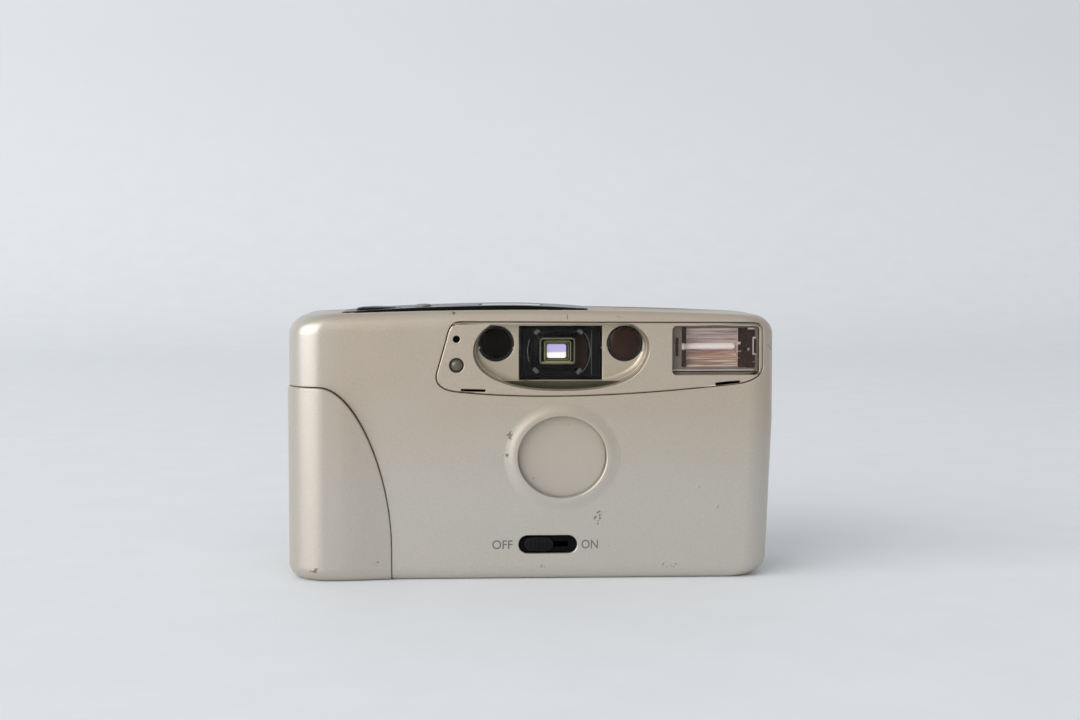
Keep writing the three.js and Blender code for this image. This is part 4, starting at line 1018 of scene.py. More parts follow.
def combine(base: Object, how: Join, others: Sequence[Object]) -> Object:
    """Joins solids to a base, cuts them from it, or keeps what they share with it.

    Args:
        base: The solid that changes.
        how: What is done.
        others: The solids that it is done with, which are used up.

    Returns:
        The base.
    """
    for other in others:
        modifier = base.modifiers.new("combine", "BOOLEAN")
        modifier.operation = how.value
        modifier.solver = "MANIFOLD"
        modifier.object = other
        settled(base)
        mesh = other.data
        bpy.data.objects.remove(other)
        bpy.data.meshes.remove(mesh)
    return base


def add(base: Object, *others: Object) -> Object:
    """Joins solids to a base, and gives the base."""
    return combine(base, Join.ADD, others)


def cut(base: Object, *others: Object) -> Object:
    """Cuts solids from a base, and gives the base."""
    return combine(base, Join.CUT, others)


def keep(base: Object, *others: Object) -> Object:
    """Keeps what a base shares with other solids, and gives the base."""
    return combine(base, Join.KEEP, others)


def cleaned(
    piece: Object, through: Sequence[Sequence[float | None]] = (), weld: float = 0.02,
    flat: float = 0.3,
) -> Object:
    """Welds a piece's close points and joins its flat neighbours.

    Args:
        piece: The piece, still in millimetres.
        through: The middles of its openings, None standing for an axis that runs through
            one. Planes there divide the faces, so that none has an opening inside it.
        weld: Points closer than this are merged.
        flat: Faces that meet at less than this many degrees are joined.

    Returns:
        The piece.
    """
    bm = bmesh.new()
    bm.from_mesh(piece.data)
    bmesh.ops.remove_doubles(bm, verts=bm.verts, dist=weld)
    bmesh.ops.dissolve_degenerate(bm, dist=weld / 2, edges=bm.edges)
    for place in through:
        for axis in range(3):
            if place[axis] is not None:
                divided(bm, axis, place[axis])
    bmesh.ops.dissolve_limit(
        bm, angle_limit=radians(flat), verts=bm.verts, edges=bm.edges, delimit={"SEAM"}
    )
    for edge in bm.edges:
        edge.seam = False
    bm.to_mesh(piece.data)
    bm.free()
    return piece


def divided(bm: BMesh, axis: int, place: float) -> None:
    """Divides a mesh's faces along a plane and marks the new edges as seams.

    Args:
        bm: The mesh.
        axis: The plane's normal: 0 for X, 1 for Y, 2 for Z.
        place: Where the plane stands on that axis.
    """
    spot, normal = Vector((0, 0, 0)), Vector((0, 0, 0))
    spot[axis], normal[axis] = place, 1.0
    everything = bm.verts[:] + bm.edges[:] + bm.faces[:]
    made = bmesh.ops.bisect_plane(bm, geom=everything, dist=1e-4, plane_co=spot, plane_no=normal)
    for part in made["geom_cut"]:
        if isinstance(part, BMEdge):
            part.seam = True


def eased(piece: Object, width: float, segments: int = 2, angle: float = 32.0) -> Object:
    """Gives a rounding modifier to a piece's sharp edges.

    Args:
        piece: The piece.
        width: The rounding's width.
        segments: The facets in it.
        angle: Edges sharper than this many degrees are rounded.

    Returns:
        The piece.
    """
    rounding = piece.modifiers.new("rounding", "BEVEL")
    rounding.width = width
    rounding.segments = segments
    rounding.limit_method = "ANGLE"
    rounding.angle_limit = radians(angle)
    rounding.use_clamp_overlap = False
    rounding.loop_slide = False
    return piece


# ---------------------------------------------------------------- places


@dataclass
class Span:
    """The box of one CAD node or of several, in millimetres."""

    low: Vector
    high: Vector

    @classmethod
    def of(cls, *nodes: str) -> Span:
        """Measures the box round some nodes.

        Args:
            *nodes: The nodes' names.

        Returns:
            The box.
        """
        boxes = [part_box(node) for node in nodes]
        low = Vector(min(box[0][k] for box in boxes) for k in range(3))
        high = Vector(max(box[1][k] for box in boxes) for k in range(3))
        return cls(low / MM, high / MM)

    @property
    def middle(self) -> Vector:
        """Gives the box's centre."""
        return (self.low + self.high) / 2

    @property
    def from_front(self) -> tuple[float, float, float]:
        """Gives the centre as seen from the front, at a depth of 0."""
        return (self.middle.x, 0, self.middle.z)

    @property
    def from_top(self) -> tuple[float, float, float]:
        """Gives the centre as seen from above, at a height of 0."""
        return (self.middle.x, self.middle.y, 0)

    @property
    def front_hole(self) -> tuple[float, None, float]:
        """Gives the middle of an opening through the front or back, as cleaned() takes it."""
        return (self.middle.x, None, self.middle.z)

    def outline(self, radius: float, steps: int, grow: float = 0.0) -> list[Point]:
        """Draws the box as seen from the front.

        Args:
            radius: The corners' radius.
            steps: The facets in each corner.
            grow: How much larger than the box it is, all round.

        Returns:
            The outline's points.
        """
        low, high = self.low, self.high
        return rounded(low.x - grow, high.x + grow, low.z - grow, high.z + grow, radius, steps)


@dataclass
class Workshop:
    """What every sub-assembly needs: the finishes, the CAD nodes and the common places."""

    finishes: Finishes
    nodes: dict[str, Object]
    wall: float = 1.6
    gap: float = 0.3
    seam: float = 0.35
    height: float = 66.4
    split: float = 1.2

    def __post_init__(self) -> None:
        """Measures the common places."""
        self.left = Span.of("front_shell").low.x
        self.right = Span.of("front_shell").high.x
        self.front = Span.of("battery_cover").low.y + 2.0
        self.back = Span.of("back_door").high.y
        self.inner_front = self.front + self.wall
        self.film = self.back - 6.5
        self.lens = Span.of("lens_barrel").middle
        self.door_axis = Span.of("door_hinge_pin").middle
        self.grip_axis = Span.of("battery_hinge_pin").middle
        self.door_top = Span.of("back_door").high.z
        self.door_y = self.door_axis.y - 2.0

    def copy(self, node: str) -> Object:
        """Copies a CAD node's mesh in millimetres, with its loose triangles merged.

        Args:
            node: The node's name.

        Returns:
            The copy.
        """
        bm = bmesh.new()
        bm.from_mesh(self.nodes[node].data)
        bmesh.ops.scale(bm, verts=bm.verts, vec=(1 / MM,) * 3)
        bmesh.ops.remove_doubles(bm, verts=bm.verts, dist=1e-3)
        mesh = bpy.data.meshes.new(node)
        bm.to_mesh(mesh)
        bm.free()
        made = bpy.data.objects.new("copy", mesh)
        bpy.context.scene.collection.objects.link(made)
        return made

    def dress(
        self,
        piece: Object,
        name: str,
        look: Look,
        body: str = "root",
        nodes: Sequence[str] = (),
        rounding: float = 0.12,
        segments: int = 2,
        angle: float = 32.0,
        finish: Any = None,
        through: Sequence[Sequence[float | None]] = (),
    ) -> Object:
        """Finishes a piece: metres, shading, name, material and body.

        Args:
            piece: The piece, in millimetres.
            name: Its name.
            look: The slot that it takes its finish from.
            body: The CAD body that it moves with.
            nodes: The CAD nodes that it stands for.
            rounding: The width of its edges' rounding, or 0.
            segments: The facets of the rounding.
            angle: Edges sharper than this many degrees are rounded or stay sharp.
            finish: A finish of its own, where it has one.
            through: The middles of its openings, as cleaned() takes them.

        Returns:
            The finished piece.
        """
        cleaned(piece, through)
        mesh = piece.data
        mesh.transform(Matrix.Scale(MM, 4))
        mesh.shade_smooth()
        if rounding:
            eased(piece, rounding * MM, segments, angle)
        else:
            mesh.set_sharp_from_angle(angle=radians(angle))
        weighted = piece.modifiers.new("normals", "WEIGHTED_NORMAL")
        weighted.keep_sharp = True
        piece.name = mesh.name = name
        mesh.materials.clear()
        mesh.materials.append(self.finishes[finish or look])
        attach(piece, body)
        if nodes:
            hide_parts(*nodes)
        LOG.info("%s: %d faces on %s", name, len(mesh.polygons), body)
        return piece


# ---------------------------------------------------------------- casing


def quarter(steps: int) -> list[float]:
    """Lists how far a quarter turn has come from its tangent, from 0 to 1."""
    return [1 - cos(step * pi / 2 / steps) for step in range(steps + 1)]


def drawn_in(distance: float, radius: float, depth: float | None = None) -> float:
    """Says how far a rounded edge has drawn in.

    Args:
        distance: The distance from the end of the form.
        radius: The edge's radius along that direction.
        depth: Its radius across, where it differs.

    Returns:
        How far the side has moved inwards.
    """
    if distance >= radius:
        return 0.0
    across = radius if depth is None else depth
    return across * (1 - sqrt(max(0.0, 1 - (1 - distance / radius) ** 2)))


def crowned(bm: BMesh, height: float, bend: float = 0.00042, middle: float = -2.0) -> None:
    """Bends a form's top down towards its ends, in place.

    Args:
        bm: The form.
        height: The form's height at its middle.
        bend: How strongly the top bends.
        middle: Where along X the top is highest.
    """
    for vert in bm.verts:
        vert.co.z -= bend * (vert.co.x - middle) ** 2 * vert.co.z / height


@dataclass
class BodyForm:
    """The casing's outer form: a rounded brick with a bowed top and a leaning right side."""

    shop: Workshop
    top_left: float = 5.0
    top_right: float = 4.7
    bottom_left: float = 3.5
    bottom_right: float = 5.5
    face: float = 2.6
    corners: tuple[float, float, float, float] = (6.5, 5.0, 2.0, 8.5)
    lean: float = 1.6
    lean_height: float = 40.0
    runs: int = 9

    def ring(self, z: float, inset: float) -> tuple[float, float, float, float]:
        """Gives the left, right, front and back of the form at a height.

        Args:
            z: The height.
            inset: How far inside the outer skin the form lies.

        Returns:
            The four places.
        """
        shop = self.shop
        low, high = z - inset, shop.height - inset - z

        def less(radius: float) -> float:
            """Makes a radius smaller by the inset."""
            return max(radius - inset, 0.5)

        edge = drawn_in(low, less(self.bottom_left), less(self.face))
        edge += drawn_in(high, less(self.top_left), less(self.face))
        left = shop.left + inset + drawn_in(low, less(self.bottom_left))
        left += drawn_in(high, less(self.top_left))
        lean = self.lean * max(0.0, 1 - z / self.lean_height)
        right = shop.right - inset - lean - drawn_in(low, less(self.bottom_right))
        right -= drawn_in(high, less(self.top_right))
        return left, right, shop.front + inset + edge, shop.back - inset - edge

    def levels(self, inset: float, steps: int) -> list[float]:
        """Lists the heights of the rings, closer together where the edges are round.

        Args:
            inset: How far inside the outer skin the form lies.
            steps: The facets of each round edge.

        Returns:
            The heights, from the bottom up.
        """
        bottom = max(self.bottom_right - inset, 0.5)
        top = max(self.top_left - inset, 0.5)
        low = [inset + bottom * share for share in quarter(steps)]
        high = [self.shop.height - inset - top * share for share in reversed(quarter(steps))]
        return [*low, self.lean_height, *high]

    def solid(self, inset: float = 0.0, steps: int = 9) -> Object:
        """Builds the form.

        Args:
            inset: How far inside the outer skin it lies.
            steps: The facets of each round edge.

        Returns:
            The closed solid.
        """
        levels = self.levels(inset, steps)
        rings = [self.ring(z, inset) for z in levels]
        left, right, front, back = rings[len(rings) // 2]
        bm = bmesh.new()
        turn = max(self.corners) + 1
        span = right - left - 2 * turn
        runs = [left + turn + span * n / self.runs for n in range(self.runs + 1)]
        across = [(x, back) for x in reversed(runs)]
        along = [(x, front) for x in runs]
        places = [(right, front), (right, back), *across, (left, back), (left, front), *along]
        verts = [bm.verts.new((x, y, 0)) for x, y in places]
        bm.faces.new(verts)
        ends = (verts[0], verts[1], verts[len(across) + 2], verts[len(across) + 3])
        for vert, radius in zip(ends, self.corners):
            bmesh.ops.bevel(
                bm, geom=[vert], offset=max(radius - inset, 0.5), offset_type="OFFSET",
                segments=steps, profile=0.5, affect="VERTICES", clamp_overlap=False, material=-1,
            )
        fits, old, old_z = [], (left, right, front, back), 0.0
        for ring, z in zip(rings, levels):
            fits.append(self._fit(old, old_z, ring, z))
            old, old_z = ring, z
        lofted(bm, bm.faces[:][0], fits)
        crowned(bm, self.shop.height)
        return to_object(bm)

    @staticmethod
    def _fit(old: Sequence[float], old_z: float, new: Sequence[float], new_z: float) -> Matrix:
        """Gives the matrix that fits one ring's box to another's.

        Args:
            old: One ring's left, right, front and back.
            old_z: Its height.
            new: The next ring's left, right, front and back.
            new_z: Its height.

        Returns:
            The matrix.
        """
        wide = (new[1] - new[0]) / (old[1] - old[0])
        deep = (new[3] - new[2]) / (old[3] - old[2])
        shift = Vector((new[0] - old[0] * wide, new[2] - old[2] * deep, new_z - old_z))
        return Matrix.Translation(shift) @ Matrix.Diagonal((wide, deep, 1, 1))


@dataclass
class Hinge:
    """A pin hinge up the casing's left side: two knuckles on the leaf, one on the body."""

    axis: Vector
    low: float
    high: float
    radius: float = 2.0
    pin: float = 0.8
    knuckle: float = 11.0
    gap: float = 0.3

    def rod(self, radius: float, low: float, high: float, steps: int = 40) -> Object:
        """Makes a rod on the hinge's axis."""
        return rod(radius, (self.axis.x, self.axis.y, 0), low, high, Along.Z, steps)

    def leaf(self, piece: Object) -> None:
        """Gives a leaf its two knuckles, and room round the body's one.

        Args:
            piece: The leaf.
        """
        low, high, r = self.low + self.knuckle, self.high - self.knuckle, self.radius
        cut(piece, self.rod(r + self.gap, low, high))
        add(piece, self.rod(r, self.low, low), self.rod(r, high, self.high))

    def body(self, piece: Object, web: Point) -> None:
        """Gives the casing its middle knuckle, on a web between two depths.

        Args:
            piece: The casing.
            web: The depths that the web reaches from and to.
        """
        low = self.low + self.knuckle + self.gap
        high = self.high - self.knuckle - self.gap
        x = self.axis.x
        wall = block((x - self.radius + 0.3, web[0], low), (x + 1.2, web[1], high))
        add(piece, self.rod(self.radius, low, high), wall)

    def bore(self, piece: Object) -> None:
        """Bores a piece for the pin."""
        cut(piece, self.rod(self.pin + self.gap, self.low - 1, self.high + 1, 24))

    def pin_piece(self) -> Object:
        """Makes the pin, with domed ends.

        Returns:
            The pin.
        """
        r, low, high, dome = self.pin, self.low + self.gap, self.high - self.gap, 0.4
        profile = [(0, low), (r * 0.6, low), (r, low + dome)]
        profile += [(r, high - dome), (r * 0.6, high), (0, high)]
        return turned(profile, (self.axis.x, self.axis.y, 0), Along.Z, 24)


@dataclass
class Casing:
    """The silver shells, the grip cover, the back door and what holds them together."""

    shop: Workshop
    grip_seam: float = 25.3
    grip_top: float = 47.5
    grip_line: float = 0.07
    panel_line: float = 0.14
    grip_proud: float = 2.0
    grip_side: float = 0.3
    pad_floor: float = 56.8
    lens_half: Point = (10.9, 10.05)
    slot: Point = (14.4, 4.45)
    cover_post: Point = (4.35, 12.1)
    slit: float = 0.13
    slit_side: float = 1.3
    rib_pitch: float = 2.75
    pad_corner: float = 6.0
    socket_bore: float = 4.5
    screw_bores: Point = (1.1, 2.0)
    post_radius: float = 1.2
    rewind_bore: float = 1.6

    def __post_init__(self) -> None:
        """Works out what the pieces share."""
        shop = self.shop
        self.form = BodyForm(shop)
        self.lens = (shop.lens.x, 0, shop.lens.z)
        self.grip_hinge = Hinge(shop.grip_axis, 3.0, self.grip_top - 2.2)
        self.door_hinge = Hinge(shop.door_axis, 3.0, shop.door_top - 1.2)

    def build(self) -> None:
        """Builds every part of the casing."""
        self.front_shell()
        self.rear_shell()
        self.grip_cover()
        self.back_door()
        self.fittings()

    def skin(self) -> Object:
        """Makes the whole outer skin."""
        return cut(self.form.solid(0.0, 10), self.form.solid(self.shop.wall, 4))

    def shell(self, front: bool) -> Object:
        """Makes the front or the rear half of the skin, less the grip's and the pad's rooms.

        Args:
            front: Whether it is the front half.

        Returns:
            The half.
        """
        shop, edge = self.shop, 0.15
        ends = (-FAR, shop.split - edge) if front else (shop.split + edge, FAR)
        half = keep(self.skin(), block((-FAR, ends[0], -FAR), (FAR, ends[1], FAR)))
        room = prism(grown(self.grip_outline(), self.grip_line), shop.front - 6, shop.split)
        grip, top = shop.grip_axis, self.grip_top + shop.seam
        high = (grip.x + 1.4, grip.y + 2 + shop.seam, top)
        cut(half, room, block((shop.left - 4, shop.split - 1, -2), high))
        pad = Span.of("top_cover")
        outline = rounded(pad.low.x, pad.high.x, pad.low.y, pad.high.y, self.pad_corner)
        return cut(half, prism(grown(outline, shop.gap), self.pad_floor, FAR, Along.Z))

    def grip_outline(self) -> list[Point]:
        """Draws the grip cover as seen from the front.

        Returns:
            The outline's points.
        """
        left, top = self.shop.left, self.grip_top
        seam = left + self.grip_seam
        drawn = Outline(left - 4, -4).line(seam, -4).line(seam, 8)
        drawn.curve((seam, 26), (left + 16.7, top), (left + 7.7, top), 26)
        return drawn.line(left - 4, top + 0.2).points

    def lens_lip(self) -> Object:
        """Turns the raised lip round the lens, which melts into the face outside.

        Returns:
            The closed solid.
        """
        width, height = self.lens_half
        rim = (
            (0.0, 1.6), (0.0, -0.22), (0.05, -0.36), (0.15, -0.45), (0.35, -0.5), (0.7, -0.5),
            (1.1, -0.46), (1.5, -0.39), (1.9, -0.3), (2.3, -0.215), (2.7, -0.14), (3.1, -0.08),
            (3.5, -0.03), (3.9, 0.02), (3.9, 0.4), (1.7, 0.4), (1.7, 1.6), (0.0, 1.6),
        )
        profile = [(width + out, self.shop.front + depth) for out, depth in rim]
        return turned(profile, self.lens, steps=120, squash=height / width)

    def front_shell(self) -> None:
        """Builds the front casing."""
        shop, switch, socket = self.shop, Span.of("switch_bezel"), Span.of("tripod_socket")
        front, inner = shop.front, shop.inner_front
        start, end = front - 1, inner + 1
        piece = self.shell(True)
        cut(piece, prism(grown(WindowPanel.outline(), self.panel_line), start, end))
        width, height = self.lens_half
        r = width + 0.75
        hole = [(0, start), (r, start), (r, end), (0, end)]
        cut(piece, turned(hole, self.lens, steps=120, squash=height / width))
        x, z, half_x, half_z = switch.middle.x, switch.middle.z, *(part / 2 for part in self.slot)
        across, up = (x - half_x, x + half_x), (z - half_z, z + half_z)
        cut(piece, slab(across, up, (start, end), half_z - 0.01, 12))
        openings = [Span.of("lens_barrel").front_hole, switch.front_hole, (18, None, 56)]
        settled(eased(cleaned(piece, openings), 0.28, 3, 34))
        add(piece, self.lens_lip())
        slit = shop.lens.x + self.slit_side
        foot = (slit - self.slit, start, Span.of("window_panel").high.z + 0.6)
        cut(piece, block(foot, (slit + self.slit, front + 1.2, 70)))
        cut(piece, rod(self.socket_bore, socket.from_top, -1, 3, Along.Z))
        openings += [(socket.middle.x, None, None), (None, socket.middle.y, None)]
        for number in (1, 2):
            screw, (shaft, head) = Span.of(f"base_screw_{number}"), self.screw_bores
            bore = rod(shaft, screw.from_top, -1, 8, Along.Z, 24)
            cut(piece, bore, rod(head, screw.from_top, -1, 1.3, Along.Z, 32))
            openings.append((screw.middle.x, screw.middle.y, None))
        post = (self.cover_post[0], 0, self.cover_post[1])
        add(piece, rod(self.post_radius, post, inner - 0.4, front + 4.4, steps=24))
        shop.dress(
            piece, "front_casing", Look.SILVER, nodes=["front_shell"], rounding=0.05, angle=50,
            through=openings,
        )

    def rear_shell(self) -> None:
        """Builds the rear casing."""
        shop, gap, piece = self.shop, self.shop.gap, self.shell(False)
        cut(piece, block((-FAR, shop.door_y - gap, -6), (FAR, 40, shop.door_top + gap)))
        self.grip_hinge.body(piece, (shop.grip_axis.y, shop.split + 4))
        self.door_hinge.body(piece, (shop.door_y - 2, shop.door_axis.y))
        self.grip_hinge.bore(piece)
        self.door_hinge.bore(piece)
        lug, latch = Span.of("strap_lug"), Span.of("door_latch").middle
        sight, rewind = Span.of("eyepiece_frame").middle, Span.of("rewind_button")
        low, high = lug.low - Vector((2, gap, gap)), lug.high + Vector((0.5, gap, gap))
        cut(piece, block(low, high))
        slot = ((latch.y - 2.3, latch.y + 2.3), (latch.z - 5.3, latch.z + 3.3))
        cut(piece, slab(*slot, (shop.right - 3, shop.right + 2), 0.8, 5, Along.X))
        eye = ((sight.x - 7.0, sight.x + 7.0), (sight.z - 4.2, sight.z + 3.6))
        cut(piece, slab(*eye, (shop.back - 4, shop.back + 2), 0.5, 4))
        cut(piece, rod(self.rewind_bore, rewind.from_top, -1, 3, Along.Z, 32))
        openings = [
            (rewind.middle.x, rewind.middle.y, None), (sight.x, None, sight.z),
            (None, latch.y, latch.z), (None, None, lug.middle.z), (None, lug.middle.y, None),
        ]
        shop.dress(
            piece, "rear_casing", Look.SILVER, nodes=["rear_shell"], rounding=0.16, angle=40,
            through=openings,
        )

    def grip_form(self, inset: float, steps: int) -> Object:
        """Builds the grip's swelling form, which fades to the face at its seam.

        Args:
            inset: How far inside the grip's skin it lies.
            steps: The facets of its round edges.

        Returns:
            The closed solid.
        """
        shop, sunk = self.shop, 0.25
        swell = self.grip_proud - sunk
        left, front = shop.left - self.grip_side + inset, shop.front + inset
        flat_x, run, radius = shop.left + 11.5, 17.5, max(9.5 - inset, 1.0)
        points = []
        for step in range(steps + 1):
            angle = radians(180 + 90 * step / steps)
            points.append((
                left + radius + radius * cos(angle),
                front - swell - sunk + radius + radius * sin(angle),
            ))
        for step in range(1, steps + 1):
            fade = (1 + cos(pi * step / steps)) / 2
            points.append((flat_x + run * step / steps, front - sunk - swell * fade))
        right, back = flat_x + run, shop.split + 4
        points += [(right, back), (left, back)]
        bottom, face_depth = max(3.5 - inset, 0.5), max(2.6 - inset, 0.5)
        levels = [inset + bottom * share for share in quarter(steps)]
        levels += [40.0, shop.height - inset - 2]
        bm = bmesh.new()
        face = bm.faces.new([bm.verts.new((x, y, 0)) for x, y in points])
        fits, wide, deep, old_z = [], 1.0, 1.0, 0.0
        for z in levels:
            low = z - inset
            new_wide = (right - left - drawn_in(low, bottom)) / (right - left)
            new_deep = (back - front - drawn_in(low, bottom, face_depth)) / (back - front)
            scale = Matrix.Diagonal((new_wide / wide, new_deep / deep, 1, 1))
            pivot = Matrix.Translation((right, back, z))
            fits.append(pivot @ scale @ Matrix.Translation((-right, -back, -old_z)))
            wide, deep, old_z = new_wide, new_deep, z
        lofted(bm, face, fits)
        crowned(bm, shop.height)
        return to_object(bm)

    def grip_cover(self) -> None:
        """Builds the grip cover, which closes the battery's room."""
        shop = self.shop
        piece = cut(self.grip_form(0, 12), self.grip_form(shop.wall, 5))
        keep(piece, prism(self.grip_outline(), shop.front - 6, shop.back))
        cut(piece, block((-FAR, shop.grip_axis.y, -6), (FAR, 40, FAR)))
        self.grip_hinge.leaf(piece)
        self.grip_hinge.bore(piece)
        shop.dress(
            piece, "grip_cover", Look.GRIP, "battery_cover", ["battery_cover"],
            rounding=0.34, segments=3, angle=38,
        )

    def back_door(self) -> None:
        """Builds the back door, with a sunk field and a ribbed rest for the thumb."""
        shop, left, back, top = self.shop, self.shop.left, self.shop.back, self.shop.door_top
        piece = keep(self.skin(), block((shop.door_axis.x + 0.3, shop.door_y, -6), (FAR, 40, top)))
        self.door_hinge.leaf(piece)
        right, z = shop.right, shop.lens.z
        add(piece, block((right - 5.6, shop.film + 0.45, z - 3), (right - 4.3, back - 1, z + 3)))
        self.door_hinge.bore(piece)
        fitted = [Span.of(node) for node in ("film_window", "date_module")]
        for span in fitted:
            hole = span.outline(1.2 + shop.gap, 6, shop.gap)
            cut(piece, prism(hole, shop.door_y, back + 1))
        cut(piece, slab((left + 9, left + 33), (6.5, 34.5), (back - 0.35, back + 1), 2.5))
        for z in (9.5 + self.rib_pitch * number for number in range(9)):
            rib = ((left + 11, left + 31), (z - 0.7, z + 0.7))
            add(piece, slab(*rib, (back - 1, back - 0.06), 0.65, 4))
        for z in (4.6, top - 3.2):
            cut(piece, slab((-14, 34), (z - 0.3, z + 0.3), (back - 0.3, back + 1), 0.25, 3))
        shop.dress(
            piece, "back_door_panel", Look.BLACK, "back_door", ["back_door"], rounding=0.18,
            angle=38, through=[*(span.front_hole for span in fitted), (left + 21, None, 20.5)],
        )

    def fittings(self) -> None:
        """Builds the pins, screws, strap lug, latch and rewind button."""
        for hinge, name, node in (
            (self.door_hinge, "door_pin", "door_hinge_pin"),
            (self.grip_hinge, "grip_pin", "battery_hinge_pin"),
        ):
            self.shop.dress(hinge.pin_piece(), name, Look.STEEL, nodes=[node], rounding=0)
        for number in (1, 2):
            self.base_screw(f"base_screw_{number}")
        self.strap_lug()
        for node, rounding in (("door_latch", 0.3), ("rewind_button", 0.15)):
            self.shop.dress(
                self.shop.copy(node), f"{node}_key", Look.BLACK, node, [node], rounding=rounding,
                segments=3,
            )

    def base_screw(self, node: str) -> None:
        """Builds a domed screw with a crossed recess.

        Args:
            node: The screw's node.
        """
        span = Span.of(node)
        x, y, low, high = span.middle.x, span.middle.y, span.low.z, span.high.z
        profile = [
            (0, low), (1.1, low + 0.05), (1.55, low + 0.2), (1.7, low + 0.4), (1.7, low + 0.8),
            (0.8, low + 0.9), (0.8, high - 0.4), (0.5, high), (0, high),
        ]
        piece = turned(profile, span.from_top, Along.Z, 40)
        for half_x, half_y in ((1.15, 0.22), (0.22, 1.15)):
            cut(piece, block((x - half_x, y - half_y, -1), (x + half_x, y + half_y, low + 0.55)))
        self.shop.dress(piece, f"{node}_head", Look.STEEL, nodes=[node], rounding=0.06)

    def strap_lug(self) -> None:
        """Builds the strap lug: a cup in the side wall with a rounded bar across it."""
        span, outer, wall = Span.of("strap_lug"), self.shop.left, 0.8
        low, high, z = span.low, span.high, span.middle.z
        depth = (outer - 0.1, high.x)
        cup = slab((low.y, high.y), (low.z, high.z), depth, 0.7, 5, Along.X)
        inside = ((low.y + wall, high.y - wall), (low.z + wall, high.z - wall))
        cut(cup, slab(*inside, (outer - 1, high.x - wall), 0.7, 5, Along.X))
        bar = ((low.x, outer + 0.7), (z - wall, z + wall))
        add(cup, slab(*bar, (low.y + 0.1, high.y - 0.1), 0.5, 6))
        self.shop.dress(cup, "strap_lug_cup", Look.BLACK, nodes=["strap_lug"], rounding=0.12)


# ---------------------------------------------------------------- window panel


